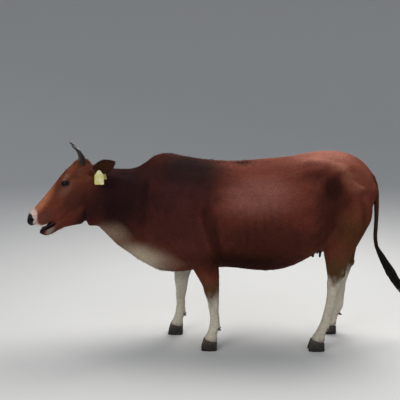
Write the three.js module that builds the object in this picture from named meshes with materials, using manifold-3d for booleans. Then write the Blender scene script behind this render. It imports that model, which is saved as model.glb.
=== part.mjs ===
/**
 * A small humped cow, standing, as a still life-size model.
 *
 * Units are millimetres and +Z is up. The cow faces -X with its left side towards -Y, and the
 * origin lies on the ground under the middle of its bounding box. The flesh is built whole, from
 * lofted bodies with soft reliefs for bone and muscle, and is then parted into named pieces by
 * thin cuts. Ears, horns, eyes, tail, udder and dewclaws sit in sockets of their own shape.
 */
import * as THREE from 'three';
import { ParametricGeometry } from 'three/addons/geometries/ParametricGeometry.js';
import { mergeVertices } from 'three/addons/utils/BufferGeometryUtils.js';
import Module from 'manifold-3d';

const wasm = await Module();
wasm.setup();

// ---------------------------------------------------------------- driving dimensions (mm)

const PARTING_GAP = 0.35;          // clearance left at every cut and socket
const HUGE = 6000;                 // half-spaces for the cuts are blocks of this size
const UPWARDS = new THREE.Vector3(0, 0, 1);

// The neck swings towards -Y in front of the shoulders, and carries the head with it.
const NECK_TURN = THREE.MathUtils.degToRad(14);
const NECK_TURN_START = -330;      // x where the swing begins
const NECK_TURN_LENGTH = 260;      // length of neck that bends

// The head's own axis runs from the poll to the muzzle, sloping down.
const POLL = { x: -690, z: 1100 };
const HEAD_SLOPE = THREE.MathUtils.degToRad(50);

// The neck is parted from the trunk and the head by planes: a point and the normal rearwards.
const NECK_CUT = [[-318, 0, 800], [1, 0, 0.1]];
const HEAD_CUT = [[-612, 0, 900], [1, 0, -0.12]];

const EYE = { along: 146, above: -14, side: 75, radius: 21 };
const CORONET_HEIGHT = 56;         // hoof height at the middle of the coronet
const CORONET_TILT = -0.22;        // the coronet falls towards the heel
const CLAW_WIDTH = 37;
const CLAW_GAP = 5;                // between the two claws of a foot
const CLAW_LEAN = 2;               // the claws close up towards the coronet
const DEWCLAW = { height: 134, behind: 18, apart: 17, length: 20, drop: 12, spread: 3, radius: 9 };
// Ear tag: the plate, the neck above it, the stud, and how far each plate stands off the ear.
const TAG = { width: 53, height: 56, neck: 17, thickness: 1.8, stud: 4, face: 15, back: 13 };
const TAG_BACK_SCALE = 0.8;        // the plate behind the ear is the smaller one
const TAG_CORNER = 4;              // the corners are cut off by this much
const TAG_EYE = 6;                 // half width of the plate round the stud
// Each front plate's facing: the left one hangs nearly square to the side.
const TAG_FACING = { [-1]: [-0.12, -1, 0.06], 1: [-0.8, 0.6, -0.1] };
const UDDER = {
  at: [712, 0, 612],
  reach: [88, 78, 62],
  teatRows: [664, 704],
  teatSide: 36,
  teatTop: 580,
  teatEnd: 528,
  teatRadius: 11,
};

// Horns and ears, in head axes: distance from the poll, out from the midline, above the axis.
const HORN = {
  path: [[14, 40, -24], [-8, 62, -12], [-26, 90, 10], [-38, 112, 42], [-42, 122, 72], [-40, 123, 93]],
  baseRadius: 18,
  tipRadius: 4.5,
};
// Ears are placed in the straight body frame: x, distance from the midline, z.
const EAR = {
  root: [-638, 70, 1034],
  tip: { [-1]: [-500, 202, 1104], 1: [-556, 218, 1004] },
  facing: [-0.45, 0.85, -0.3],
  leaf: [[0, 15, 3, 22], [0.14, 20, 8, 17], [0.32, 34, 14, 10], [0.52, 43, 15, 8], [0.72, 42, 12, 7],
    [0.88, 30, 8, 6], [1, 11, 2, 5]],
};
const TAG_HOLE = { along: 0.36, across: -0.42 };   // shares of the ear's length and half width

// The tail hangs close behind the buttocks; its switch is carried back.
const TAIL = {
  path: [[935, 0, 1052], [956, 0, 1036], [988, 0, 990], [1014, 0, 930], [1028, 3, 850],
  [1034, 7, 740], [1033, 9, 640],
    [1041, 10, 588], [1060, 11, 545]],
  radii: [[0, 26], [0.14, 27], [0.3, 21], [0.5, 15], [0.8, 13], [1, 13]],
};
const SWITCH = {
  path: [[1064, 11, 537], [1094, 12, 489], [1134, 13, 425], [1178, 14, 355], [1214, 15, 297],
  [1240, 15, 252]],
  radii: [[0, 13, 13], [0.2, 22, 20], [0.45, 30, 27], [0.7, 28, 23], [0.9, 15, 13], [1, 6, 5]],
};

// The lower jaw is parted by a plane through the mouth's corner, rising towards the cheek.
const MOUTH = { corner: [-838, 0, 748], slope: [-0.375, 0, 1] };

// The planes that part each leg from the trunk: a point and the normal out of the leg.
const FORELEG_CUTS = [
  [[0, 60, 444], [-0.14, -0.56, 0.83]], [[0, 60, 444], [0, -0.56, 0.83]],
  [[0, 22, 0], [0, -1, 0]], [[-230, 0, 0], [-1, 0, 0]], [[130, 0, 0], [1, 0, 0]],
];
const HINDLEG_CUTS = [
  [[690, 0, 600], [-0.53, 0, 0.85]], [[0, 52, 640], [0, -0.8, 0.6]], [[0, 10, 0], [0, -1, 0]],
];

// Claw: height as a share of the coronet, reach to the toe, reach to the heel, width
const CLAW = [[0, 58, 39, 37], [0.3, 54, 38, 37.5], [0.65, 47, 38, 37], [1, 40, 38, 35]];

// ---------------------------------------------------------------- section tables
// Each row is one station; everything between stations is interpolated smoothly.

// Neck and trunk: x, top z, bottom z, half width, z of the widest point, squareness above, below.
// Low squareness below gives the thin keel of the dewlap, and above the ridge of the hump.
const TORSO = [
  [-650, 1082, 713, 74, 920, 2.0, 1.9],
  [-600, 1063, 711, 84, 912, 2.0, 1.7],
  [-560, 1056, 676, 92, 905, 1.95, 1.5],
  [-528, 1053, 624, 98, 895, 1.9, 1.42],
  [-471, 1048, 573, 108, 880, 1.85, 1.36],
  [-400, 1047, 524, 128, 860, 1.8, 1.42],
  [-350, 1060, 494, 146, 845, 1.7, 1.55],
  [-295, 1106, 466, 166, 825, 1.6, 1.7],
  [-240, 1138, 440, 181, 800, 1.55, 1.8],
  [-180, 1142, 428, 194, 785, 1.55, 1.9],
  [-90, 1123, 434, 207, 770, 1.65, 1.95],
  [30, 1103, 452, 220, 755, 1.8, 2.0],
  [150, 1093, 464, 246, 740, 1.9, 2.1],
  [290, 1098, 453, 275, 722, 1.95, 2.15],
  [400, 1108, 448, 284, 718, 1.95, 2.15],
  [520, 1119, 470, 277, 735, 1.95, 2.1],
  [630, 1141, 522, 255, 785, 1.95, 2.05],
  [740, 1151, 590, 230, 850, 2.05, 2.0],
  [830, 1142, 645, 212, 880, 2.05, 2.0],
  [905, 1113, 700, 186, 890, 2.0, 2.0],
  [960, 1068, 750, 146, 890, 2.0, 2.0],
];

// Head: distance from the poll, crown, underside, half width, height of the widest point
// (all measured across the head's axis), squareness above, below
const HEAD = [
  [-6, -6, -120, 54, -52, 2.1, 2.0],
  [24, 12, -160, 68, -50, 2.5, 2.2],
  [75, 20, -190, 77, -54, 2.9, 2.4],
  [120, 24, -205, 87, -50, 3.0, 2.5],
  [160, 25, -218, 89, -54, 2.8, 2.7],
  [210, 24, -222, 78, -66, 2.5, 2.8],
  [270, 25, -212, 66, -74, 2.3, 2.8],
  [310, 26, -186, 59, -68, 2.25, 2.6],
  [340, 27, -146, 56, -58, 2.2, 2.4],
  [368, 28, -106, 54, -45, 2.2, 2.3],
  [408, 31, -74, 55, -26, 2.3, 2.3],
  [436, 27, -34, 50, -8, 2.2, 2.3],
];

// Jaw: x, top z, bottom z, half width, z of the widest point, squareness above, below
const JAW = [
  [-915, 712, 682, 26, 697, 2.2, 2.2],
  [-896, 722, 672, 33, 700, 2.3, 2.1],
  [-866, 733, 675, 39, 706, 2.3, 2.0],
  [-838, 756, 690, 45, 724, 2.3, 2.0],
  [-800, 810, 710, 54, 765, 2.2, 2.0],
  [-750, 880, 721, 65, 800, 2.2, 2.0],
  [-690, 910, 728, 74, 830, 2.1, 2.0],
];

// Foreleg: z, reach forwards, reach backwards, half width
const FORELEG = [
  [800, 120, 100, 30],
  [720, 165, 115, 46],
  [640, 150, 100, 56],
  [565, 108, 86, 60],
  [500, 84, 78, 55],
  [430, 62, 64, 46],
  [370, 46, 46, 38],
  [318, 40, 40, 37],
  [275, 34, 34, 32],
  [228, 27, 27, 25],
  [186, 27, 28, 27],
  [150, 31, 35, 32],
  [108, 30, 28, 31],
  [62, 42, 40, 41],
];

// Hind leg: the same columns
const HINDLEG = [
  [1040, 64, 44, 34],
  [960, 118, 78, 66],
  [880, 146, 108, 80],
  [790, 154, 138, 84],
  [700, 137, 122, 82],
  [640, 112, 104, 76],
  [580, 88, 84, 64],
  [520, 64, 68, 50],
  [470, 50, 56, 41],
  [430, 44, 54, 38],
  [385, 36, 36, 33],
  [320, 28, 28, 27],
  [240, 28, 27, 27],
  [192, 29, 30, 29],
  [156, 32, 36, 34],
  [110, 30, 28, 32],
  [62, 42, 40, 42],
];

// Where each leg's axis runs: z, x, distance from the midline
const LEG_AXES = {
  foreleg_left: [
    [800, -70, 142], [720, -55, 142], [640, -24, 140], [560, 16, 139], [500, 32, 137],
    [430, 49, 134], [370, 66, 131], [318, 72, 130], [228, 79, 131], [150, 86, 132], [108, 76, 133],
    [62, 62, 134],
  ],
  foreleg_right: [
    [800, -85, 142], [720, -88, 140], [640, -92, 136], [560, -96, 132], [500, -99, 127],
    [430, -104, 121], [370, -110, 117], [318, -113, 115], [228, -121, 115], [150, -120, 116],
    [108, -130, 116],
    [62, -143, 117],
  ],
  hindleg_left: [
    [1040, 852, 118], [960, 860, 126], [880, 856, 132], [790, 838, 139], [700, 812, 140],
    [640, 798, 140], [580, 786, 140],
    [520, 776, 140], [470, 772, 140], [430, 768, 140], [385, 762, 140], [320, 756, 140], [240, 742, 140],
    [156, 726, 141], [110, 702, 142], [62, 684, 143],
  ],
  hindleg_right: [
    [1040, 862, 118], [960, 866, 125], [880, 869, 130], [790, 868, 134], [700, 866, 132],
    [640, 872, 130], [580, 878, 128],
    [520, 884, 126], [470, 887, 125], [430, 884, 125], [385, 878, 125], [320, 872, 125], [240, 862, 125],
    [156, 850, 126], [110, 826, 127], [62, 808, 128],
  ],
};

// Bone and muscle: a soft push of the surface around a point, the same on both sides.
// at is the middle, reach its size along x, y and z, and push how far the middle moves.
const BODY_RELIEF = [
  { name: 'hook bone', at: [765, 190, 1040], reach: [115, 90, 85], push: [0, 17, 18] },
  { name: 'flank hollow', at: [640, 225, 1000], reach: [130, 130, 120], push: [0, -20, -4] },
  { name: 'pin bone', at: [985, 95, 930], reach: [80, 80, 80], push: [14, 8, 6] },
  { name: 'shoulder blade', at: [-120, 180, 900], reach: [170, 130, 230], push: [0, 18, 0] },
  { name: 'shoulder point', at: [-235, 175, 735], reach: [150, 130, 140], push: [-8, 22, 0] },
  { name: 'shoulder crease', at: [40, 215, 740], reach: [85, 120, 240], push: [0, -14, 0] },
];

const HEAD_RELIEF = [
  { name: 'eye socket rim', at: [118, 84, -8], reach: [46, 46, 40], push: [0, 9, 7] },
  { name: 'temple', at: [62, 82, -62], reach: [48, 50, 40], push: [0, -9, 0] },
  { name: 'below the eye', at: [200, 78, -38], reach: [52, 46, 38], push: [0, -5, 0] },
  { name: 'cheek', at: [165, 80, -118], reach: [110, 60, 70], push: [0, 9, 0] },
  { name: 'nostril wing', at: [424, 44, 12], reach: [34, 34, 30], push: [0, 9, 4] },
  { name: 'upper lip', at: [405, 46, -62], reach: [44, 40, 34], push: [0, 7, -3] },
  { name: 'between the nostrils', at: [446, 0, 22], reach: [34, 26, 30], push: [-4, 0, -6] },
];

// ---------------------------------------------------------------- small helpers

/** Smooth values between the rows of a table whose first column is the position. */
function stations(rows) {
  const ordered = [...rows].sort((a, b) => a[0] - b[0]);
  const size = ordered[0].length - 1;
  const positions = ordered.map((row) => row[0]);
  const values = ordered.flatMap((row) => row.slice(1));
  const interpolant = new THREE.CubicInterpolant(positions, values, size, new Float64Array(size));
  return (position) => Array.from(interpolant.evaluate(position));
}

/** Signed power, for superellipse sections. */
const bow = (value, power) => Math.sign(value) * Math.abs(value) ** power;

/**
 * A closed body lofted through sections, rounded off at both ends.
 * section(t) gives centre, across, upward, along, half, up, down and the two squarenesses.
 */
function loft({ sides, rings, section, startCap, endCap, capRings = 2, grow = 0 }) {
  const total = rings + 2 * capRings;
  const surface = (u, v, target) => {
    const ring = Math.round(v * total) - capRings;
    const before = Math.max(-ring, 0) / capRings;
    const after = Math.max(ring - rings, 0) / capRings;
    const turn = Math.max(before, after) * Math.PI / 2;
    const part = section(THREE.MathUtils.clamp(ring / rings, 0, 1));
    const cap = before > 0 ? -(startCap + grow) : endCap + grow;
    const side = Math.cos(2 * Math.PI * u);
    const lift = Math.sin(2 * Math.PI * u);
    const square = lift >= 0 ? part.squareUp : part.squareDown;
    const reach = (lift >= 0 ? part.up : part.down) + grow;
    const shrink = Math.cos(turn);
    target.copy(part.centre)
      .addScaledVector(part.across, bow(side, 2 / square) * (part.half + grow) * shrink)
      .addScaledVector(part.upward, bow(lift, 2 / square) * reach * shrink)
      .addScaledVector(part.along, cap * Math.sin(turn));
  };
  return new ParametricGeometry(surface, sides, total);
}

/** A tapering round body along a curve; radiusAt(t) may return [across, upward] radii. */
function taperedTube({ curve, radiusAt, sides, rings, startCap, endCap, grow = 0 }) {
  const frames = curve.computeFrenetFrames(rings, false);
  return loft({
    sides,
    rings,
    startCap,
    endCap,
    grow,
    section: (t) => {
      const index = Math.round(t * rings);
      const [across, upward = across] = [radiusAt(t)].flat();
      return {
        centre: curve.getPointAt(t),
        across: frames.normals[index],
        upward: frames.binormals[index],
        along: frames.tangents[index],
        half: across,
        up: upward,
        down: upward,
        squareUp: 2,
        squareDown: 2,
      };
    },
  });
}

/** Push the surface softly out or in around each relief, on both sides of the midline. */
function relieve(geometry, reliefs) {
  const position = geometry.attributes.position;
  const point = new THREE.Vector3();
  for (let i = 0; i < position.count; i += 1) {
    point.fromBufferAttribute(position, i);
    for (const { at, reach, push } of reliefs) {
      const sides = at[1] === 0 ? [1] : [1, -1];
      for (const side of sides) {
        const far = Math.hypot(
          (point.x - at[0]) / reach[0],
          (point.y - side * at[1]) / reach[1],
          (point.z - at[2]) / reach[2],
        );
        if (far < 1) {
          const weight = (1 - far * far) ** 2;
          point.x += push[0] * weight;
          point.y += side * push[1] * weight;
          point.z += push[2] * weight;
        }
      }
    }
    position.setXYZ(i, point.x, point.y, point.z);
  }
  return geometry;
}

/** Move every point of a geometry through a function. */
function remap(geometry, move) {
  const position = geometry.attributes.position;
  const point = new THREE.Vector3();
  for (let i = 0; i < position.count; i += 1) {
    move(point.fromBufferAttribute(position, i));
    position.setXYZ(i, point.x, point.y, point.z);
  }
  return geometry;
}

/** Head axes (along, side, above) to the straight body frame. */
function fromHead(point) {
  const along = point.x;
  const above = point.z;
  point.x = POLL.x - along * Math.cos(HEAD_SLOPE) - above * Math.sin(HEAD_SLOPE);
  point.z = POLL.z - along * Math.sin(HEAD_SLOPE) + above * Math.cos(HEAD_SLOPE);
  return point;
}

/** Swing the neck and head round towards -Y. */
function swing(point) {
  const ahead = NECK_TURN_START - point.x;
  if (ahead <= 0) return point;
  const bent = Math.min(ahead, NECK_TURN_LENGTH);
  const rate = NECK_TURN / NECK_TURN_LENGTH;
  const turn = bent * rate;
  const straight = ahead - bent;
  const { y } = point;
  point.x = NECK_TURN_START - Math.sin(turn) / rate - straight * Math.cos(turn) - y * Math.sin(turn);
  point.y = -(1 - Math.cos(turn)) / rate - straight * Math.sin(turn) + y * Math.cos(turn);
  return point;
}

/** A point given in head axes, placed on the finished cow. */
const onHead = (along, side, above) => swing(fromHead(new THREE.Vector3(along, side, above)));

/** A closed manifold solid from a three.js geometry, facing outwards. */
function solid(geometry) {
  const bare = new THREE.BufferGeometry();
  bare.setAttribute('position', geometry.attributes.position.clone());
  if (geometry.index) bare.setIndex(geometry.index.clone());
  const merged = mergeVertices(bare, 1e-3);
  const corners = merged.attributes.position.array;
  const kept = [];
  const { array } = merged.index;
  for (let i = 0; i < array.length; i += 3) {
    const [a, b, c] = [array[i], array[i + 1], array[i + 2]];
    if (a !== b && b !== c && c !== a) kept.push(a, b, c);
  }
  const build = (triangles) => new wasm.Manifold(new wasm.Mesh({
    numProp: 3,
    vertProperties: Float32Array.from(corners),
    triVerts: Uint32Array.from(triangles),
  }));
  const volumeOf = (triangles) => {
    const [a, b, c] = [new THREE.Vector3(), new THREE.Vector3(), new THREE.Vector3()];
    let total = 0;
    for (let i = 0; i < triangles.length; i += 3) {
      a.fromArray(corners, 3 * triangles[i]);
      b.fromArray(corners, 3 * triangles[i + 1]);
      c.fromArray(corners, 3 * triangles[i + 2]);
      total += a.dot(b.cross(c));
    }
    return total;
  };
  return build(volumeOf(kept) < 0 ? kept.reverse() : kept);
}

/** A manifold solid back to a three.js geometry. */
function geometryOf(manifold) {
  const mesh = manifold.getMesh();
  const geometry = new THREE.BufferGeometry();
  geometry.setAttribute('position', new THREE.BufferAttribute(mesh.vertProperties, 3));
  geometry.setIndex(new THREE.BufferAttribute(mesh.triVerts, 1));
  return geometry;
}

/**
 * The space behind every one of some planes, each a point and an outward normal, and the same
 * space grown by the parting gap.
 */
function region(planes) {
  const make = (extra) => planes.map(([point, normal]) => {
    const outward = new THREE.Vector3(...normal).normalize();
    const box = new THREE.BoxGeometry(HUGE, HUGE, HUGE).translate(0, 0, -HUGE / 2);
    box.applyQuaternion(new THREE.Quaternion().setFromUnitVectors(UPWARDS, outward));
    const face = new THREE.Vector3(...point).addScaledVector(outward, extra);
    return solid(box.translate(face.x, face.y, face.z));
  }).reduce((whole, half) => whole.intersect(half));
  return { inside: make(0), grown: make(PARTING_GAP) };
}

// ---------------------------------------------------------------- flesh

/** A loft whose rings stand across x, from a table of x, top, bottom, half width and shape. */
function barrel({ table, sides, rings, startCap, endCap }) {
  const at = stations(table);
  const first = Math.min(...table.map((row) => row[0]));
  const last = Math.max(...table.map((row) => row[0]));
  return loft({
    sides,
    rings,
    startCap,
    endCap,
    section: (t) => {
      const x = THREE.MathUtils.lerp(first, last, t);
      const [top, bottom, half, widest, squareUp, squareDown] = at(x);
      return {
        centre: new THREE.Vector3(x, 0, widest),
        across: new THREE.Vector3(0, 1, 0),
        upward: new THREE.Vector3(0, 0, 1),
        along: new THREE.Vector3(1, 0, 0),
        half,
        up: top - widest,
        down: widest - bottom,
        squareUp,
        squareDown,
      };
    },
  });
}

/** One leg down to the coronet, along its axis. side is -1 on the left and 1 on the right. */
function legFlesh(name, table, side) {
  const shape = stations(table);
  const axis = stations(LEG_AXES[name]);
  const top = table[0][0];
  const low = CORONET_HEIGHT;
  return loft({
    sides: 11,
    rings: 16,
    startCap: 30,
    endCap: 0,
    capRings: 1,
    section: (t) => {
      const z = THREE.MathUtils.lerp(top, low, t ** 0.92);
      const [ahead, behind, half] = shape(z);
      const [x, out] = axis(z);
      const tilt = THREE.MathUtils.smoothstep(-z, -120, -low) * CORONET_TILT;
      return {
        centre: new THREE.Vector3(x, side * out, z),
        across: new THREE.Vector3(0, 1, 0),
        upward: new THREE.Vector3(1, 0, tilt),
        along: new THREE.Vector3(0, 0, -1),
        half,
        up: behind,
        down: ahead,
        squareUp: 2.15,
        squareDown: 2.15,
      };
    },
  });
}

const torsoStraight = barrel({ table: TORSO, sides: 22, rings: 30, startCap: 30, endCap: 42 });
const torsoWhole = solid(remap(relieve(torsoStraight, BODY_RELIEF), swing));
const skullStraight = barrel({ table: HEAD, sides: 18, rings: 16, startCap: 20, endCap: 28 });
const skullWhole = solid(remap(relieve(skullStraight, HEAD_RELIEF), (point) => swing(fromHead(point))));
const jawStraight = barrel({ table: JAW, sides: 14, rings: 7, startCap: 11, endCap: 46 });
const jawWhole = solid(remap(jawStraight, swing));

// ---------------------------------------------------------------- what grows in sockets

/** A horn: out and up from the poll, then curling forwards. */
function horn(side, grow = 0) {
  const path = HORN.path.map(([along, out, above]) => onHead(along, side * out, above));
  const taper = (t) => THREE.MathUtils.lerp(HORN.baseRadius, HORN.tipRadius, t ** 1.25);
  return solid(taperedTube({
    curve: new THREE.CatmullRomCurve3(path),
    radiusAt: taper,
    sides: 9,
    rings: 7,
    startCap: 4,
    endCap: HORN.tipRadius,
    capRings: 1,
    grow,
  }));
}

/** The axes of one ear: its root, length and three directions. */
function earAxes(side) {
  const straight = ([x, y, z]) => new THREE.Vector3(x, side * y, z);
  const root = swing(straight(EAR.root));
  const tip = swing(straight(EAR.tip[side]));
  const along = tip.clone().sub(root).normalize();
  const towards = straight(EAR.facing).applyAxisAngle(new THREE.Vector3(0, 0, 1), NECK_TURN);
  const across = new THREE.Vector3().crossVectors(along, towards).normalize();
  const facing = new THREE.Vector3().crossVectors(across, along).normalize();
  if (across.z < 0) across.negate();
  return { root, along, across, facing, length: tip.distanceTo(root) };
}

/** An ear: a cupped leaf on a short thick stalk, its hollow side turned outwards. */
function ear(side, grow = 0) {
  const { root, along, across, facing, length } = earAxes(side);
  const leaf = stations(EAR.leaf);
  const rings = 8;
  const sides = 12;
  const shape = (u, v, target) => {
    const ring = Math.round(v * (rings + 2)) - 1;
    const t = THREE.MathUtils.clamp(ring / rings, 0, 1);
    const ended = ring < 0 || ring > rings;
    const [half, cup, thick] = leaf(t);
    const reach = ended ? 0 : Math.cos(2 * Math.PI * u);
    const skin = ended ? 0 : Math.sin(2 * Math.PI * u);
    const overrun = (ring < 0 ? -6 - grow : 0) + (ring > rings ? 5 + grow : 0);
    target.copy(root)
      .addScaledVector(along, t * length + overrun)
      .addScaledVector(across, reach * (half + grow))
      .addScaledVector(facing, cup * (reach * reach - 0.45) + skin * (thick / 2 + grow));
  };
  return solid(new ParametricGeometry(shape, sides, rings + 2));
}

/** An eyeball. */
function eye(side, grow = 0) {
  const ball = new THREE.SphereGeometry(EYE.radius + grow, 10, 6);
  const { x, y, z } = onHead(EYE.along, side * EYE.side, EYE.above);
  return solid(ball.translate(x, y, z));
}

/** A dewclaw: a blunt cone behind the fetlock. */
function dewclaw(legName, legSide, clawSide, grow = 0) {
  const [x, out] = stations(LEG_AXES[legName])(DEWCLAW.height - DEWCLAW.drop / 2);
  const sideways = legSide * out + clawSide * DEWCLAW.apart;
  const start = new THREE.Vector3(x + DEWCLAW.behind, sideways, DEWCLAW.height);
  const slant = new THREE.Vector3(DEWCLAW.length, clawSide * DEWCLAW.spread, -DEWCLAW.drop);
  const end = start.clone().add(slant);
  return solid(taperedTube({
    curve: new THREE.LineCurve3(start, end),
    radiusAt: (t) => THREE.MathUtils.lerp(DEWCLAW.radius, DEWCLAW.radius * 0.55, t),
    sides: 6,
    rings: 1,
    startCap: 0.5,
    endCap: 4,
    capRings: 1,
    grow,
  }));
}

/** The tail, from its root on the croup to the top of the switch. */
function tail(grow = 0) {
  const curve = new THREE.CatmullRomCurve3(TAIL.path.map((point) => new THREE.Vector3(...point)));
  const radius = stations(TAIL.radii);
  return solid(taperedTube({
    curve,
    radiusAt: (t) => radius(t)[0],
    sides: 10,
    rings: 13,
    startCap: 8,
    endCap: 3,
    capRings: 1,
    grow,
  }));
}

/** The outer form of the switch of long hair at the end of the tail. */
function tailSwitch() {
  const curve = new THREE.CatmullRomCurve3(SWITCH.path.map((point) => new THREE.Vector3(...point)));
  const radius = stations(SWITCH.radii);
  return solid(taperedTube({
    curve,
    radiusAt: (t) => [radius(t)[0], radius(t)[1]],
    sides: 10,
    rings: 8,
    startCap: 2,
    endCap: 10,
    capRings: 1,
  }));
}

/** The small udder with its four teats, as one body. */
function udder(grow = 0) {
  const bag = new THREE.SphereGeometry(1, 10, 6);
  let whole = solid(bag.scale(...UDDER.reach.map((reach) => reach + grow)).translate(...UDDER.at));
  for (const x of UDDER.teatRows) {
    for (const side of [-1, 1]) {
      const top = new THREE.Vector3(x, side * UDDER.teatSide, UDDER.teatTop);
      const end = new THREE.Vector3(x - 4, side * (UDDER.teatSide + 5), UDDER.teatEnd);
      whole = whole.add(solid(taperedTube({
        curve: new THREE.LineCurve3(top, end),
        radiusAt: (t) => THREE.MathUtils.lerp(UDDER.teatRadius, UDDER.teatRadius * 0.72, t),
        sides: 6,
        rings: 1,
        startCap: 2,
        endCap: 6,
        capRings: 1,
        grow,
      })));
    }
  }
  return whole;
}

/** One claw of a hoof: a flat sole on the ground, a sloping toe and a lower heel. */
function claw(legName, legSide, clawSide) {
  const [x, out] = stations(LEG_AXES[legName])(CORONET_HEIGHT);
  const rows = stations(CLAW);
  const sideways = legSide * out + clawSide * (CLAW_WIDTH + CLAW_GAP) / 2;
  const top = CORONET_HEIGHT - PARTING_GAP;
  return solid(loft({
    sides: 10,
    rings: 3,
    startCap: 0,
    endCap: 0,
    capRings: 1,
    section: (t) => {
      const [toe, heel, width] = rows(t);
      const ahead = (heel - toe) / 2;
      const height = (top + CORONET_TILT * ahead) * t;
      return {
        centre: new THREE.Vector3(x + ahead, sideways - clawSide * CLAW_LEAN * t, height),
        across: new THREE.Vector3(0, 1, 0),
        upward: new THREE.Vector3(1, 0, CORONET_TILT * t),
        along: new THREE.Vector3(0, 0, 1),
        half: width / 2,
        up: (heel + toe) / 2,
        down: (heel + toe) / 2,
        squareUp: 2.6,
        squareDown: 2.2,
      };
    },
  }));
}

/**
 * An ear tag: two plates hanging from one stud, one on each face of the ear.
 * Returns the front plate with the stud, and the back plate.
 */
function earTag(side) {
  const outline = new THREE.Shape();
  const half = TAG.width / 2;
  const knee = -TAG.neck;
  const foot = knee - TAG.height;
  outline.moveTo(-TAG_EYE, TAG_EYE);
  outline.lineTo(0, TAG_EYE + TAG_CORNER / 2);
  outline.lineTo(TAG_EYE, TAG_EYE);
  outline.lineTo(half - TAG_CORNER, knee);
  outline.lineTo(half, knee - TAG_CORNER);
  outline.lineTo(half, foot + TAG_CORNER);
  outline.lineTo(half - TAG_CORNER, foot);
  outline.lineTo(TAG_CORNER - half, foot);
  outline.lineTo(-half, foot + TAG_CORNER);
  outline.lineTo(-half, knee - TAG_CORNER);
  outline.lineTo(TAG_CORNER - half, knee);
  outline.closePath();
  const plate = (scale, lift) => {
    const cut = new THREE.ExtrudeGeometry(outline, { depth: TAG.thickness, bevelEnabled: false });
    return cut.scale(scale, scale, 1).translate(0, 0, lift);
  };
  const stud = (from, to, radius) => new THREE.CylinderGeometry(radius, radius, to - from, 8)
    .rotateX(Math.PI / 2).translate(0, 0, (from + to) / 2);
  const { root, along, across, facing, length } = earAxes(side);
  const [earHalf] = stations(EAR.leaf)(TAG_HOLE.along);
  const hole = root.clone().addScaledVector(along, TAG_HOLE.along * length)
    .addScaledVector(across, TAG_HOLE.across * earHalf);
  const placed = (towards) => {
    const up = new THREE.Vector3(0, 0, 1).addScaledVector(towards, -towards.z).normalize();
    const basis = new THREE.Matrix4().makeBasis(new THREE.Vector3().crossVectors(up, towards), up, towards);
    return basis.setPosition(hole);
  };
  const outward = placed(new THREE.Vector3(...TAG_FACING[side]).normalize());
  const inward = placed(facing);
  const put = (geometry, place) => solid(geometry.applyMatrix4(place));
  const pin = (grow) => put(stud(-TAG.back, TAG.face + TAG.thickness + 1.5, TAG.stud + grow), outward);
  const front = put(plate(1, TAG.face), outward).add(pin(0));
  const back = put(plate(TAG_BACK_SCALE, -TAG.back - TAG.thickness), inward).subtract(pin(PARTING_GAP));
  return { front, back, pin: pin(PARTING_GAP) };
}

// ---------------------------------------------------------------- joining, socketing and parting

const LEGS = [
  { name: 'foreleg_left', table: FORELEG, side: -1 },
  { name: 'foreleg_right', table: FORELEG, side: 1 },
  { name: 'hindleg_left', table: HINDLEG, side: -1 },
  { name: 'hindleg_right', table: HINDLEG, side: 1 },
];
const SIDES = [{ word: 'left', sign: -1 }, { word: 'right', sign: 1 }];

let flesh = torsoWhole.add(skullWhole).add(jawWhole);
for (const { name, table, side } of LEGS) {
  flesh = flesh.add(solid(legFlesh(name, table, side)));
}

const pieces = {};                 // node name to manifold solid

for (const { word, sign } of SIDES) {
  pieces[`eye_${word}`] = eye(sign);
  pieces[`horn_${word}`] = horn(sign);
  pieces[`ear_${word}`] = ear(sign);
  for (const shape of [eye, horn, ear]) flesh = flesh.subtract(shape(sign, PARTING_GAP));
}
pieces.tail = tail();
pieces.tail_switch = tailSwitch();
pieces.udder = udder();
flesh = flesh.subtract(tail(PARTING_GAP)).subtract(udder(PARTING_GAP));

for (const { name, side } of LEGS) {
  const foot = name.replace('leg', '');
  for (const [place, clawSide] of [['inner', -side], ['outer', side]]) {
    pieces[`claw_${foot}_${place}`] = claw(name, side, clawSide);
    pieces[`dewclaw_${foot}_${place}`] = dewclaw(name, side, clawSide);
    flesh = flesh.subtract(dewclaw(name, side, clawSide, PARTING_GAP));
  }
}

/** Part one piece off the flesh with a cutting block. */
function partOff(name, { inside, grown }) {
  pieces[name] = flesh.intersect(inside);
  flesh = flesh.subtract(grown);
}

/** A cutting plane across the swung neck or head, from its straight place and normal. */
function swungPlane([x, y, z], [nx, ny, nz]) {
  const point = swing(new THREE.Vector3(x, y, z));
  const normal = swing(new THREE.Vector3(x + nx, y + ny, z + nz)).sub(point);
  return [point.toArray(), normal.toArray()];
}

partOff('head', region([swungPlane(...HEAD_CUT)]));
partOff('neck', region([NECK_CUT]));
for (const { name, side } of LEGS) {
  const planes = (name.startsWith('fore') ? FORELEG_CUTS : HINDLEG_CUTS)
    .map(([[x, y, z], [nx, ny, nz]]) => [[x, side * y, z], [nx, side * ny, nz]]);
  partOff(name, region(planes));
}
pieces.trunk = flesh;
const jawCut = region([
  swungPlane(MOUTH.corner, [1, 0, 0]),
  swungPlane(MOUTH.corner, MOUTH.slope),
]);
pieces.lower_jaw = pieces.head.intersect(jawCut.inside);
pieces.head = pieces.head.subtract(jawCut.grown);

for (const { word, sign } of SIDES) {
  const { front, back, pin } = earTag(sign);
  pieces[`ear_${word}`] = pieces[`ear_${word}`].subtract(pin);
  pieces[`tag_${word}_front`] = front;
  pieces[`tag_${word}_back`] = back;
}

// ---------------------------------------------------------------- the finished group

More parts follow.
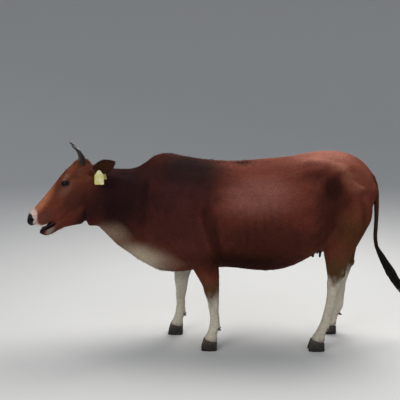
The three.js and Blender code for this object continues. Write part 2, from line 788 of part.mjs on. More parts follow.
const FINISHES = {
  coat_red: { color: 0x5d2e20, roughness: 0.75 },
  hair_black: { color: 0x1e1a18, roughness: 0.6 },
  skin_dark: { color: 0x3a2a28, roughness: 0.7 },
  horn_dark: { color: 0x2c2620, roughness: 0.45 },
  eye_dark: { color: 0x140d0a, roughness: 0.1 },
  tag_yellow: { color: 0xd9c63a, roughness: 0.5 },
};

/** The finish that goes with a node's name. */
function finishOf(name) {
  if (name.startsWith('eye')) return 'eye_dark';
  if (name.startsWith('horn') || name.includes('claw')) return 'horn_dark';
  if (name.startsWith('tag')) return 'tag_yellow';
  if (name === 'tail_switch') return 'hair_black';
  if (name === 'udder') return 'skin_dark';
  return 'coat_red';
}

const cow = new THREE.Group();
const bounds = new THREE.Box3();
for (const [name, shape] of Object.entries(pieces)) {
  const material = new THREE.MeshStandardMaterial({ ...FINISHES[finishOf(name)], metalness: 0 });
  const mesh = new THREE.Mesh(geometryOf(shape), material);
  mesh.name = name;
  bounds.expandByObject(mesh);
  cow.add(mesh);
}
const middle = bounds.getCenter(new THREE.Vector3());
cow.position.set(-middle.x, -middle.y, -bounds.min.z);

export default cow;
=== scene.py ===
"""A small humped cow, dressed as a still life-size model.

The frame's flesh is copied, melted into one skin and sculpted with folds, lids and tendons.
Over the skin lie short tufts of coat and, where the coat is longer, locks of hair. Eyes, horns,
hoofs and ear tags are pieces of their own. Lengths are in metres, +Z is up, the cow faces -X.
"""

import logging
import math
from collections.abc import Callable, Iterator
from contextlib import contextmanager
from dataclasses import dataclass, field
from enum import Enum

import bmesh
import bpy
import numpy as np
from bpy.types import Material, Mesh, Node, NodeSocket, NodeTree, Object
from mathutils import Matrix, Vector


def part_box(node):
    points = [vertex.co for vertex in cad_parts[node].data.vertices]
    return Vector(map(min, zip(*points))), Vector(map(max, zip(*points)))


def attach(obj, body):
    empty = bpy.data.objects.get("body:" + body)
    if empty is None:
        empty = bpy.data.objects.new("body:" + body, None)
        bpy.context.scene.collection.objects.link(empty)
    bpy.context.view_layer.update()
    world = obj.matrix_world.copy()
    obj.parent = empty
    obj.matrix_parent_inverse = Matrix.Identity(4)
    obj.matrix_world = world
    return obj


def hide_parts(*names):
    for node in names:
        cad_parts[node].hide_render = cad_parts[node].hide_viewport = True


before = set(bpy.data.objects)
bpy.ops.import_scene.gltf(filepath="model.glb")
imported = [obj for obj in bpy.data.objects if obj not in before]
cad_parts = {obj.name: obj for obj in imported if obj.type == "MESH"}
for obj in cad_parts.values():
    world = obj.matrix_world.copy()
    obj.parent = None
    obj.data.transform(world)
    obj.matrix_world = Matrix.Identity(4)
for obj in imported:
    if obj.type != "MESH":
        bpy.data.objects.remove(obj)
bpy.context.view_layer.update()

Array = np.ndarray
Place = tuple[float, float, float]
LOG = logging.getLogger("cow")
MM = 0.001
BAKE_MAP = "OFBake"
TUFT_PATCH = 0.003  # how much of the unwrap each tuft takes
SIDES = {"left": -1, "right": 1}
LEGS = ("foreleg_left", "foreleg_right", "hindleg_left", "hindleg_right")
FLESH = ("head", "lower_jaw", "neck", "trunk", "udder", "tail", *LEGS, "ear_left", "ear_right")


# ---------------------------------------- small helpers

def ramp(low: float, high: float, value: Array) -> Array:
    """A smooth rise from 0 at low to 1 at high; low may be the larger one.

    Args:
        low: Where the result is 0.
        high: Where the result is 1.
        value: What is measured.

    Returns:
        The smooth share for each value.
    """
    share = np.clip((value - low) / (high - low), 0, 1)
    return share * share * (3 - 2 * share)


def bell(value: Array, middle: float, width: float) -> Array:
    """A soft hill: 1 at the middle, and near 0 two widths away."""
    return np.exp(-((value - middle) / width) ** 2)


def unit(rows: Array) -> Array:
    """Rows of coordinates, each brought to the length 1."""
    return rows / np.maximum(np.linalg.norm(rows, axis=-1, keepdims=True), 1e-9)


def turns(count: int) -> Array:
    """Angles evenly spaced round one full turn."""
    return np.linspace(0, 2 * np.pi, count, endpoint=False)


def read_all(items: object, key: str, width: int, kind: type = float) -> Array:
    """Reads one property of every item.

    Args:
        items: A mesh's vertices, edges, loops or the like.
        key: The property.
        width: How many numbers it holds.
        kind: Their type.

    Returns:
        One row for each item, or a plain list of numbers where the width is 1.
    """
    flat = np.empty(len(items) * width, kind)
    items.foreach_get(key, flat)
    return flat.reshape(-1, width) if width > 1 else flat


def read_points(mesh: Mesh) -> Array:
    """The mesh's vertices as an array of rows x, y, z."""
    return read_all(mesh.vertices, "co", 3)


def write_points(mesh: Mesh, points: Array) -> None:
    """Moves the mesh's vertices to points."""
    mesh.vertices.foreach_set("co", points.astype(np.float32).ravel())
    mesh.update()


def read_normals(mesh: Mesh) -> Array:
    """The mesh's vertex normals as an array of rows."""
    return read_all(mesh.vertex_normals, "vector", 3)


def write_attribute(mesh: Mesh, name: str, values: Array) -> None:
    """Stores one number, vector or colour for each vertex.

    Args:
        mesh: The mesh that gets the attribute.
        name: The attribute's name.
        values: One row for each vertex, with 1, 3 or 4 columns.
    """
    columns = 1 if values.ndim == 1 else values.shape[1]
    kind, key = {1: ("FLOAT", "value"), 3: ("FLOAT_VECTOR", "vector"), 4: ("FLOAT_COLOR", "color")}[columns]
    layer = mesh.attributes.get(name) or mesh.attributes.new(name, kind, "POINT")
    layer.data.foreach_set(key, values.astype(np.float32).ravel())


def drop_attributes(mesh: Mesh, *names: str) -> None:
    """Removes attributes that are no longer needed."""
    for name in names:
        if name in mesh.attributes:
            mesh.attributes.remove(mesh.attributes[name])


def new_object(name: str, data: bpy.types.ID) -> Object:
    """Links a new object at the origin that holds a mesh, a lamp or a camera."""
    made = bpy.data.objects.new(name, data)
    bpy.context.scene.collection.objects.link(made)
    return made


@contextmanager
def edited(mesh: Mesh) -> Iterator[bmesh.types.BMesh]:
    """Opens a mesh for editing and writes it back at the end."""
    shell = bmesh.new()
    shell.from_mesh(mesh)
    yield shell
    shell.to_mesh(mesh)
    shell.free()


def mesh_from(name: str, points: Array, faces: list) -> Mesh:
    """A mesh from points and faces, with smooth faces that point outwards.

    Args:
        name: The mesh's name.
        points: The vertices.
        faces: Tuples of vertex numbers.

    Returns:
        The new mesh.
    """
    mesh = bpy.data.meshes.new(name)
    mesh.from_pydata([tuple(point) for point in points], [], faces)
    with edited(mesh) as shell:
        bmesh.ops.recalc_face_normals(shell, faces=shell.faces)
    mesh.shade_smooth()
    return mesh


def settle(thing: Object) -> Mesh:
    """Applies the object's modifiers and clears them.

    Args:
        thing: The object, whose mesh is exchanged for the evaluated one.

    Returns:
        The object's new mesh.
    """
    old = thing.data
    graph = bpy.context.evaluated_depsgraph_get()
    made = bpy.data.meshes.new_from_object(thing.evaluated_get(graph))
    thing.modifiers.clear()
    thing.data = made
    made.name = thing.name
    bpy.data.meshes.remove(old)
    return made


def merge_copies(nodes: tuple, swell: float, name: str) -> Object:
    """Copies of CAD nodes as one object.

    Args:
        nodes: The nodes' names.
        swell: How far each copy swells along its normals.
        name: The new object's name.

    Returns:
        The object.
    """
    made = new_object(name, bpy.data.meshes.new(name))
    with edited(made.data) as whole:
        for node in nodes:
            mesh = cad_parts[node].data.copy()
            with edited(mesh) as copy:
                bmesh.ops.remove_doubles(copy, verts=copy.verts, dist=1e-5)
                bmesh.ops.recalc_face_normals(copy, faces=copy.faces)
                copy.normal_update()
                for vertex in copy.verts:
                    vertex.co += vertex.normal * swell
            whole.from_mesh(mesh)
            bpy.data.meshes.remove(mesh)
    return made


def melt(thing: Object, voxel: float) -> Mesh:
    """Remeshes the object evenly, so that what touches becomes one surface."""
    remesh = thing.modifiers.new("melt", "REMESH")
    remesh.mode = "VOXEL"
    remesh.voxel_size = voxel
    return settle(thing)


def relax(mesh: Mesh, spread: Array, voxel: float) -> None:
    """Smooths the mesh until forms smaller than each vertex's spread have run out.

    Args:
        mesh: The mesh, with edges about one voxel long.
        spread: How wide the smoothing reaches at each vertex, in metres.
        voxel: The length of the mesh's edges.
    """
    points = read_points(mesh)
    count = len(points)
    edges = read_all(mesh.edges, "vertices", 2, np.int32)
    first, second = edges.T
    degree = np.bincount(edges.ravel(), minlength=count)
    rounds = max(1, math.ceil(2 * spread.max() ** 2 / (0.6 * voxel ** 2)))
    step = (2 * spread ** 2 / (rounds * voxel ** 2))[:, None]
    for _ in range(rounds):
        middle = np.stack([np.bincount(first, points[second, axis], count)
                           + np.bincount(second, points[first, axis], count) for axis in range(3)], 1)
        points += step * (middle / degree[:, None] - points)
    write_points(mesh, points)


def box_middle(node: str) -> Array:
    """The middle of a CAD node's box."""
    low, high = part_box(node)
    return np.array((low + high) / 2)


def curve_through(points: tuple | Array, count: int) -> Array:
    """A smooth line through points, from first to last.

    Args:
        points: The points that it passes through.
        count: How many points it returns, evenly spaced in length.

    Returns:
        The points of the line.
    """
    knots = np.asarray(points, float)
    padded = np.vstack([2 * knots[0] - knots[1], knots, 2 * knots[-1] - knots[-2]])
    steps = 12
    line = []
    for i in range(len(knots) - 1):
        before, start, end, after = padded[i:i + 4]
        for share in np.linspace(0, 1, steps, endpoint=False):
            line.append(0.5 * (2 * start + (end - before) * share
                               + (2 * before - 5 * start + 4 * end - after) * share ** 2
                               + (3 * start - before - 3 * end + after) * share ** 3))
    line = np.array(line + [knots[-1]])
    length = np.concatenate([[0], np.cumsum(np.linalg.norm(np.diff(line, axis=0), axis=1))])
    wanted = np.linspace(0, length[-1], count)
    return np.stack([np.interp(wanted, length, column) for column in line.T], 1)


def distance_to_line(points: Array, line: Array) -> tuple[Array, Array]:
    """How far points lie from a line of straight stretches.

    Args:
        points: The points, of two or three columns.
        line: The line's own points.

    Returns:
        Each point's distance, and how far along the line its nearest place is, from 0 to 1.
    """
    best = np.full(len(points), np.inf)
    place = np.zeros(len(points))
    stretches = len(line) - 1
    for i in range(stretches):
        run = line[i + 1] - line[i]
        share = np.clip((points - line[i]) @ run / max(run @ run, 1e-12), 0, 1)
        gap = np.linalg.norm(points - line[i] - share[:, None] * run, axis=1)
        nearer = gap < best
        best = np.where(nearer, gap, best)
        place = np.where(nearer, (i + share) / stretches, place)
    return best, place


def linear(code: int) -> Array:
    """A colour code such as 0x8a4f33 as linear red, green and blue."""
    parts = np.array([(code >> shift & 255) / 255 for shift in (16, 8, 0)])
    return np.where(parts <= 0.04045, parts / 12.92, ((parts + 0.055) / 1.055) ** 2.4)


# ---------------------------------------- the cow's axes

@dataclass
class BodyAxes:
    """The body with the neck's swing taken out, in which the anatomy is easy to say.

    x runs from muzzle to tail, y from the left side to the right and z up from the ground.
    """

    udder_place: float = 0.712
    bend_start: float = -0.330
    bend_length: float = 0.260
    bend_turn: float = math.radians(14)

    @property
    def shift(self) -> float:
        """How far the body's x runs ahead of the frame's."""
        return self.udder_place - box_middle("udder")[0]

    @property
    def radius(self) -> float:
        """The radius of the arc in which the neck bends."""
        return self.bend_length / self.bend_turn

    def turn_at(self, straight: Array) -> Array:
        """How far the neck has turned at each straight point."""
        return np.clip((self.bend_start - straight[:, 0]) / self.radius, 0, self.bend_turn)

    def straighten(self, points: Array) -> Array:
        """Points of the frame in the straight body's axes.

        Args:
            points: Points in the frame.

        Returns:
            The same points, as if the neck weren't turned.
        """
        ahead = self.bend_start - (points[:, 0] + self.shift)
        across = points[:, 1]
        angle = np.arctan2(ahead, across + self.radius)
        made = points.copy()
        made[:, 0] += self.shift
        arc = ahead > 0
        made[arc, 0] = self.bend_start - angle[arc] * self.radius
        made[arc, 1] = np.hypot(ahead[arc], across[arc] + self.radius) - self.radius
        cos, sin = math.cos(self.bend_turn), math.sin(self.bend_turn)
        past = arc & (angle > self.bend_turn)
        run = ahead[past] - sin * self.radius
        drift = across[past] + (1 - cos) * self.radius
        made[past, 0] = self.bend_start - self.bend_length - (run * cos - drift * sin)
        made[past, 1] = run * sin + drift * cos
        return made

    def bend(self, straight: Array) -> Array:
        """Straight points placed in the frame.

        Args:
            straight: Points in the straight body's axes.

        Returns:
            The points on the turned neck and head.
        """
        turn = self.turn_at(straight)
        past = np.maximum(self.bend_start - self.bend_length - straight[:, 0], 0)
        made = straight.copy()
        ahead = self.bend_start - straight[:, 0]
        y = straight[:, 1]
        cos, sin = np.cos(turn), np.sin(turn)
        bent_x = self.bend_start - sin * self.radius - past * cos - y * sin
        made[:, 0] = np.where(ahead > 0, bent_x, straight[:, 0]) - self.shift
        made[:, 1] = np.where(ahead > 0, -(1 - cos) * self.radius - past * sin + y * cos, y)
        return made

    def turn_vectors(self, straight: Array, vectors: Array) -> Array:
        """Directions in the straight body turned as the neck is at each point.

        Args:
            straight: Where each direction stands.
            vectors: The directions.

        Returns:
            The directions in the frame.
        """
        turn = self.turn_at(straight)
        cos, sin = np.cos(turn), np.sin(turn)
        made = vectors.copy()
        made[:, 0] = vectors[:, 0] * cos - vectors[:, 1] * sin
        made[:, 1] = vectors[:, 0] * sin + vectors[:, 1] * cos
        return made


@dataclass
class HeadAxes:
    """The head's own axes: along from poll to muzzle, side to its right, above the face."""

    slope: float = math.radians(50)
    eye_along: float = 0.146
    eye_above: float = -0.014

    def __post_init__(self) -> None:
        """Works out the axes from where the eyes stand."""
        left, right = box_middle("eye_left"), box_middle("eye_right")
        across = right - left
        across[2] = 0
        self.side = unit(across)
        ahead = np.array([-self.side[1], self.side[0], 0.0])
        ahead *= -np.sign(ahead[0])
        down = np.array([0, 0, -1.0])
        self.along = ahead * math.cos(self.slope) + down * math.sin(self.slope)
        self.above = ahead * math.sin(self.slope) - down * math.cos(self.slope)
        middle = (left + right) / 2
        self.poll = middle - self.eye_along * self.along - self.eye_above * self.above
        self.matrix = np.stack([self.along, self.side, self.above])

    def measure(self, points: Array) -> Array:
        """Points of the frame in the head's axes."""
        return (points - self.poll) @ self.matrix.T

    def place(self, local: Array) -> Array:
        """Points in the head's axes placed in the frame."""
        return self.poll + np.asarray(local, float) @ self.matrix


BODY = BodyAxes()
HEAD = HeadAxes()


# ---------------------------------------- the skin's form

@dataclass(frozen=True)
class Swell:
    """A soft round rise of the skin, or a hollow where its height is negative (millimetres)."""

    at: Place
    reach: Place
    height: float

    def lift(self, points: Array) -> Array:
        """How far each point rises along its normal, in metres."""
        far = np.sqrt((((points / MM - self.at) / self.reach) ** 2).sum(1))
        return self.height * MM * np.clip(1 - far * far, 0, 1) ** 2


@dataclass(frozen=True)
class Fold:
    """A soft ridge along a line, or a groove where its height is negative (millimetres)."""

    line: tuple[Place, ...]
    width: float
    height: float

    def lift(self, points: Array) -> Array:
        """How far the fold lifts each point; its ends run out softly.

        Args:
            points: Points in the axes that the line is said in.

        Returns:
            The rise along the normal, in metres.
        """
        path = curve_through(self.line, 8 * len(self.line)) * MM
        made = np.zeros(len(points))
        margin = self.width * MM
        near = ((points > path.min(0) - margin) & (points < path.max(0) + margin)).all(1)
        if near.any():
            gap, share = distance_to_line(points[near], path)
            ends = ramp(-0.02, 0.22, share) * ramp(1.02, 0.78, share)
            made[near] = self.height * MM * ends * np.clip(1 - (gap / margin) ** 2, 0, 1) ** 2
        return made


# Bone, muscle and loose skin, said for the right side and made on both.
BODY_FORMS = (
    Swell((772, 176, 1068), (60, 60, 42), 13),  # hook bone
    Fold(((560, 112, 1092), (640, 120, 1098), (710, 140, 1092), (765, 172, 1072)), 38, 8),  # edge of the loin
    Fold(((778, 172, 1072), (802, 192, 1025), (826, 198, 990), (878, 192, 950), (930, 168, 935)), 34, 12),
    Fold(((800, 144, 1088), (870, 130, 1066), (930, 122, 1030), (975, 108, 970)), 46, 4),  # rump ridge
    Swell((622, 190, 1020), (110, 80, 62), -10),  # flank hollow
    Swell((726, 212, 962), (70, 80, 96), -18),
    Fold(((560, 215, 560), (640, 215, 625), (700, 222, 700), (735, 222, 790)), 46, 9),  # flank fold
    Fold(((705, 215, 560), (760, 225, 660), (790, 228, 780)), 34, -4),
    Swell((985, 100, 925), (60, 60, 60), 8),  # pin bone
    Swell((968, 55, 985), (46, 34, 60), -9),  # beside the tail head
    Fold(((870, 195, 950), (905, 205, 840), (915, 200, 720), (890, 175, 620)), 30, -5),  # thigh groove
    Fold(((800, 205, 930), (790, 228, 820), (760, 225, 700)), 60, 5),  # thigh muscle
    Swell((705, 200, 640), (62, 60, 70), 7),  # stifle
    Fold(((-90, 60, 1110), (-110, 150, 1040), (-150, 190, 930), (-205, 195, 800), (-245, 180, 710)), 44, 6),
    Fold(((-10, 120, 1080), (-30, 185, 980), (-60, 205, 860), (-80, 205, 760)), 60, 6),  # shoulder blade
    Swell((-245, 165, 715), (75, 70, 80), 9),  # point of shoulder
    Swell((-50, 195, 640), (95, 70, 110), 9),  # upper arm
    Fold(((30, 205, 880), (45, 218, 780), (70, 215, 680), (88, 200, 590), (96, 180, 530)), 44, -19),
    Fold(((105, 215, 800), (125, 222, 700), (135, 205, 600)), 50, 4),  # behind the elbow
    Fold(((70, 175, 560), (62, 190, 520), (55, 180, 485)), 30, 6),  # elbow
    Fold(((-300, 90, 1010), (-318, 150, 900), (-322, 160, 800), (-310, 135, 700)), 46, -7),
    Fold(((-560, 80, 800), (-480, 92, 730), (-400, 108, 665), (-330, 120, 620)), 34, -6),  # jugular groove
    Fold(((-585, 60, 1040), (-500, 84, 1010), (-420, 104, 990), (-340, 130, 985)), 50, 5),
    Fold(((240, 190, 510), (330, 196, 490), (430, 186, 492), (520, 170, 520)), 17, 4),  # milk vein
    Swell((395, 0, 450), (90, 26, 40), 9),  # navel fold
    Fold(((-420, 20, 545), (-340, 30, 505), (-260, 40, 470), (-190, 50, 450)), 40, 7),  # brisket
    Fold(((1002, 14, 905), (996, 15, 880), (990, 12, 850), (982, 4, 822)), 15, 6),  # below the tail
    Swell((1004, 0, 928), (18, 20, 18), -7),
    Fold(((1000, 0, 900), (996, 0, 870), (990, 0, 840)), 7, -6),
)
RIBS = tuple(
    Fold(((120 + 46 * i, 235, 940), (150 + 46 * i, 268, 800), (160 + 44 * i, 258, 660),
          (130 + 42 * i, 225, 560)), 21, 1.6)
    for i in range(8)
)
NECK_WRINKLES = tuple(
    Fold(((-590 + 30 * i, 70, 900 - 14 * i), (-596 + 34 * i, 84, 830 - 22 * i),
          (-584 + 38 * i, 66, 735 - 34 * i)), 13, -3)
    for i in range(5)
)
LEG_HEIGHTS = (60, 108, 160, 240, 320, 370, 420, 480)


@dataclass(frozen=True)
class Leg:
    """One leg's outline, from which its bones and tendons are placed (millimetres)."""

    side: int
    out: float
    fronts: tuple[float, ...]
    backs: tuple[float, ...]

    def at(self, height: float, share: float, across: float = 0) -> Place:
        """A place at a height, a share of the way from front to back, and so far out of the middle."""
        front, back = (np.interp(height, LEG_HEIGHTS, edge) for edge in (self.fronts, self.backs))
        return front + share * (back - front), self.side * (self.out + across), height

    def cord(self, places: tuple, across: float, width: float, height: float) -> Fold:
        """A fold down the leg through places, each a height and a share."""
        return Fold(tuple(self.at(*place, across) for place in places), width, height)

    def forms(self) -> list:
        """Knee or hock, tendons and fetlock."""
        made = [self.cord(((310, 1), (240, 1), (170, 1)), 0, 15, 3.5)]
        for beside in (27, -27):
            made.append(self.cord(((310, 0.66), (240, 0.64), (165, 0.68)), beside, 14, -4))
            made.append(Swell(self.at(118, 0.5, beside), (30, 18, 26), 3))
        made.append(Swell(self.at(86, 1), (20, 30, 16), -3))
        if self.fronts[0] < 400:
            made += [Swell(self.at(352, 0.05), (34, 40, 44), 5), Swell(self.at(286, 0.1), (28, 40, 26), -3)]
            made += [Swell(self.at(338, 0.4, beside), (26, 20, 32), 4) for beside in (32, -32)]
        else:
            made += [Swell(self.at(452, 1), (34, 28, 34), 10), Swell(self.at(432, 0), (24, 32, 36), -4)]
            made += [Swell(self.at(388, 0.45, beside), (32, 20, 40), 4) for beside in (28, -28)]
            hock = ((520, 0.70), (490, 0.74), (455, 0.74))
            made += [self.cord(hock, beside, 20, -7) for beside in (32, -32)]
        return made


FEET = (
    Leg(-1, 131, (29, 45, 59, 53, 34, 22, -4, -20), (99, 104, 114, 105, 109, 109, 110, 112)),
    Leg(1, 115, (-175, -161, -148, -145, -149, -153, -160, -170), (-105, -99, -93, -93, -77, -65, -48, -20)),
    Leg(-1, 140, (653, 670, 696, 716, 729, 735, 729, 730), (722, 729, 758, 766, 780, 793, 809, 828)),
    Leg(1, 125, (777, 795, 819, 837, 846, 846, 843, 838), (845, 853, 879, 886, 897, 910, 923, 941)),
)
HEAD_FORMS = (
    Fold(((96, 62, 12), (118, 84, 18), (150, 92, 14), (172, 84, 4)), 20, 5),  # brow
    Swell((66, 80, -50), (40, 40, 36), -5),  # temple
    Fold(((158, 88, -44), (215, 82, -62), (280, 68, -70), (330, 58, -66)), 24, 2.6),  # facial crest
    Fold(((190, 50, 16), (250, 40, 20), (320, 34, 22), (380, 32, 22)), 19, 2),  # edge of the nose bone
    Swell((150, 0, 26), (70, 34, 30), -4),  # dished forehead
    Fold(((200, 66, -8), (260, 56, -18), (330, 50, -26)), 26, -2),  # beside the nose bone
    Swell((175, 86, -120), (80, 50, 66), 6),  # cheek
    Swell((408, 34, -58), (62, 50, 36), 14),  # hanging upper lip
    Swell((380, 50, -76), (34, 34, 34), 6),
    Fold(((96, 84, -150), (160, 86, -185), (230, 74, -195)), 24, 4),  # angle of the jaw
    Fold(((250, 70, -110), (300, 62, -110), (350, 56, -104)), 18, 3),  # cheek muscle
    Fold(((385, 10, 30), (410, 26, 26), (432, 38, 20)), 16, 3),  # above the nostril
)
NOSTRIL = ((460, 27, -6), (456, 38, 6), (444, 47, 13), (430, 52, 10), (420, 54, 0))
LIP_EDGE = ((456, 0, -37), (450, 26, -38), (432, 45, -44), (418, 52, -64), (396, 56, -86), (372, 54, -104))
MUZZLE_FORMS = (
    Fold(NOSTRIL, 13, -17),
    Fold(((452, 30, 16), (440, 42, 24), (424, 50, 21), (412, 54, 10)), 9, 4),  # its upper wing
    Fold(((462, 34, -18), (448, 50, -8), (434, 56, -8)), 9, 3),  # its lower edge
    Fold(((466, 0, 20), (469, 0, 0), (462, 0, -26)), 6, -2.2),  # parting below the nose
    Fold(((456, 0, -36), (450, 26, -37), (432, 46, -42), (418, 52, -62), (396, 56, -84), (374, 54, -102)),
         9, 3.5),  # upper lip
    Fold(((446, 30, -22), (420, 56, -34), (392, 62, -58), (368, 60, -84)), 9, -2),  # above the lip
    Fold(((380, 54, -104), (362, 58, -112), (344, 60, -112)), 9, -5),  # corner of the mouth
    Fold(((468, 0, -84), (456, 22, -86), (436, 34, -88), (408, 42, -98)), 9, 3),  # lower lip
    Fold(((462, 0, -104), (444, 24, -112), (418, 34, -124)), 12, 3),  # chin
)


@dataclass
class EyeOpening:
    """The almond between the lids of one eye, measured over the ball from its middle (millimetres)."""

    side: int
    along: float = 146
    out: float = 75
    above: float = -14
    radius: float = 20.6
    facing: Place = (0.10, 0.96, 0.24)
    fissure: Place = (0.563, 0.0, 0.826)
    half_length: float = 19.5
    upper: float = 10.5
    lower: float = 8.6

    def __post_init__(self) -> None:
        """Works out the eye's own axes: outwards, towards its front corner, and up."""
        flip = np.array([1, self.side, 1])
        self.middle = np.array([self.along, self.out, self.above]) * flip * MM
        outward = unit(np.array(self.facing) * flip)
        forward = np.array(self.fissure) * flip
        forward = unit(forward - outward * (forward @ outward))
        upward = np.cross(forward, outward)
        upward *= np.sign(upward[2] - upward[0])
        self.axes = np.stack([forward, upward, outward])

    def rim(self, count: int = 64) -> Array:
        """The almond's edge as points (towards the front corner, up), in millimetres."""
        angle = np.linspace(0, 2 * np.pi, count)
        across, lift = np.cos(angle), np.sin(angle)
        bow = np.where(lift > 0, self.upper, self.lower) * np.sign(lift) * np.abs(lift) ** 1.25
        skew = np.where(lift > 0, 0.10, -0.12) * np.abs(lift) * self.half_length
        return np.stack([across * self.half_length - skew, bow - 1.5 * across ** 3], 1)

    def spread(self, points: Array) -> tuple[Array, Array]:
        """Head-axis points as places over the ball.

        Args:
            points: Points in the head's axes, in metres.

        Returns:
            Places (towards the front corner, up) in millimetres, and distances from the middle.
        """
        local = (points - self.middle) @ self.axes.T / MM
        reach = np.linalg.norm(local, axis=1)
        flat = np.hypot(local[:, 0], local[:, 1])
        angle = np.arctan2(flat, local[:, 2])
        scale = angle * self.radius / np.maximum(flat, 1e-9)
        return local[:, :2] * scale[:, None], reach

    def outside(self, places: Array) -> Array:
        """How far places lie from the almond's edge.

        Args:
            places: Places over the ball, in millimetres.

        Returns:
            The distances in millimetres, negative between the lids.
        """
        rim = self.rim()
        gap, _ = distance_to_line(places, rim)
        inside = np.zeros(len(places), bool)
        for start, end in zip(rim[:-1], np.roll(rim[:-1], -1, axis=0)):
            crosses = (start[1] > places[:, 1]) != (end[1] > places[:, 1])
            slope = (end[0] - start[0]) / (end[1] - start[1] or 1e-12)
            inside ^= crosses & (places[:, 0] < start[0] + (places[:, 1] - start[1]) * slope)
        return np.where(inside, -gap, gap)

    def place(self, over: Array, reach: float) -> Array:
        """Places over the ball, in millimetres, as points of the frame at some reach from its middle."""
        flat = np.linalg.norm(over, axis=1)
        angle = flat / self.radius
        unit = over / np.maximum(flat, 1e-9)[:, None]
        local = np.column_stack([unit * np.sin(angle)[:, None], np.cos(angle)]) * reach * MM
        return HEAD.place(self.middle + local @ self.axes)


EYES = {name: EyeOpening(side) for name, side in SIDES.items()}


# ---------------------------------------- markings, painted shade and highlight, and coat

@dataclass(frozen=True)
class Patch:
    """A soft-edged area of another colour, some of them painted shade and some painted highlight; its side is
    -1 or 1, or 0 for both (millimetres).
    """

    colour: int
    at: Place
    reach: Place
    strength: float = 1.0
    side: int = 0

    def share(self, points: Array, ragged: Array) -> Array:
        """How much of the patch's colour each point takes."""
        folded = points / MM
        folded[:, 1] = folded[:, 1] * self.side if self.side else np.abs(folded[:, 1])
        far = np.sqrt((((folded - self.at) / self.reach) ** 2).sum(1)) * (1 + 0.05 * ragged)
        return self.strength * ramp(1.0, 0.22, far)


MAHOGANY = 0x643024
BODY_PATCHES = (
    # painted sheen: the top of the back a little lighter, as light from above makes it
    Patch(0x6C392B, (420, 0, 1130), (520, 230, 140), 0.85),  # back
    # painted sheen: the loin lighter, as sunlight on the top makes it
    Patch(0x935D4E, (700, 60, 1120), (260, 150, 90), 0.95),  # loin
    Patch(0x784233, (890, 60, 1000), (160, 190, 170), 0.8),  # rump
    # the barrel's lighter red coat, with a painted grey sheen on the upper flank
    Patch(0x84544A, (300, 240, 930), (300, 130, 190), 0.75),  # barrel
    # painted shade: the lower barrel darker towards the underside
    Patch(0x34160F, (340, 240, 670), (470, 170, 220), 0.82),  # lower barrel
    Patch(0x130808, (-70, 100, 1030), (340, 260, 320), 0.95),  # hump
    Patch(0x3B1D1C, (-110, 200, 780), (300, 170, 380), 0.8),  # shoulder
    Patch(0x200D0F, (-440, 60, 900), (430, 300, 430), 0.97),  # neck
    # the belly's darker coat, with painted shade beneath the body
    Patch(0x1E0B05, (260, 150, 540), (520, 230, 130), 0.88),  # lower belly
    # painted shade in the flank hollow before the thigh, in the two patches below
    Patch(0x1C0905, (716, 215, 890), (165, 130, 230), 0.66),  # before the thigh
    Patch(0x260F08, (680, 215, 720), (130, 110, 190), 0.55),
    Patch(0x50321A, (845, 180, 705), (150, 130, 200), 0.85),  # thigh
    # painted highlight along the ridge over hook bone and thurl, in the three patches below
    Patch(0x9A6550, (770, 175, 1080), (90, 70, 46), 0.5),  # hook bone and thurl
    Patch(0x93604B, (810, 190, 1020), (56, 60, 56), 0.5),
    Patch(0x8A5844, (856, 200, 968), (80, 60, 46), 0.45),
    Patch(0x8E5E3A, (250, 0, 456), (420, 130, 34), 0.8),  # belly line
    Patch(0xB8AA95, (-300, 0, 535), (280, 220, 130), 0.97),  # brisket
    Patch(0x98826F, (-480, 0, 680), (190, 110, 110), 0.75),  # dewlap
    Patch(0x86604F, (-175, 150, 500), (140, 130, 60), 0.6),  # before the elbow
    Patch(0x5F4636, (712, 0, 590), (110, 90, 70), 0.9),  # udder
    Patch(0x3A2F1B, (1010, 0, 900), (50, 40, 190), 0.8),  # tail
    Patch(0x2B1B19, (996, 0, 880), (34, 26, 80), 0.9),  # below the tail
    Patch(0x3A301F, (1034, 0, 640), (60, 50, 230), 0.97),
    Patch(0x241D15, (1054, 0, 560), (60, 50, 80), 0.95),  # end of the tail
    Patch(0x23110D, (235, 60, 1100), (100, 90, 44), 0.85, -1),  # whorl on the back
)
HEAD_PATCHES = (
    Patch(0x5F3021, (120, 60, -30), (280, 110, 160), 1.0),  # face
    # the bridge's lighter hair, with a painted highlight from above
    Patch(0xA8694A, (300, 20, 12), (170, 52, 42), 0.9),  # bridge of the nose
    Patch(0x70412C, (60, 20, 10), (90, 60, 50), 0.8),  # forehead
    Patch(0x40201A, (200, 90, -110), (150, 60, 80), 0.85),  # cheek
    # painted shade beneath the jaw and throat
    Patch(0x2A1515, (200, 60, -220), (190, 90, 60), 0.85),  # under the jaw
    # painted shade round the eye, in its socket and under the brow
    Patch(0x1E120E, (152, 84, -10), (48, 50, 28), 0.5),  # round the eye
    # paler hair over and under the eye, with a painted highlight, in the two patches below
    Patch(0x8C7264, (122, 84, 10), (60, 36, 22), 0.36),  # over the eye
    Patch(0x836454, (168, 84, -34), (90, 60, 34), 0.32),  # under the eye
    Patch(0x6A4C40, (48, 74, -37), (40, 36, 26), 0.4),  # temple
    Patch(0x7A5C4A, (44, 80, -92), (30, 40, 22), 0.5),  # ear base
    Patch(0x51372D, (366, 55, -50), (64, 50, 48), 0.6),  # dusky lip
    Patch(0x857A70, (418, 20, -118), (52, 60, 26), 0.9),  # chin
    Patch(0x241820, (452, 16, -92), (36, 50, 22), 0.95),  # lower lip
)
LEG_SPANS = ((-1, -0.07, 0.16), (1, -0.26, 0.03), (-1, 0.60, 0.86), (1, 0.74, 1.0))  # side, from x, to x
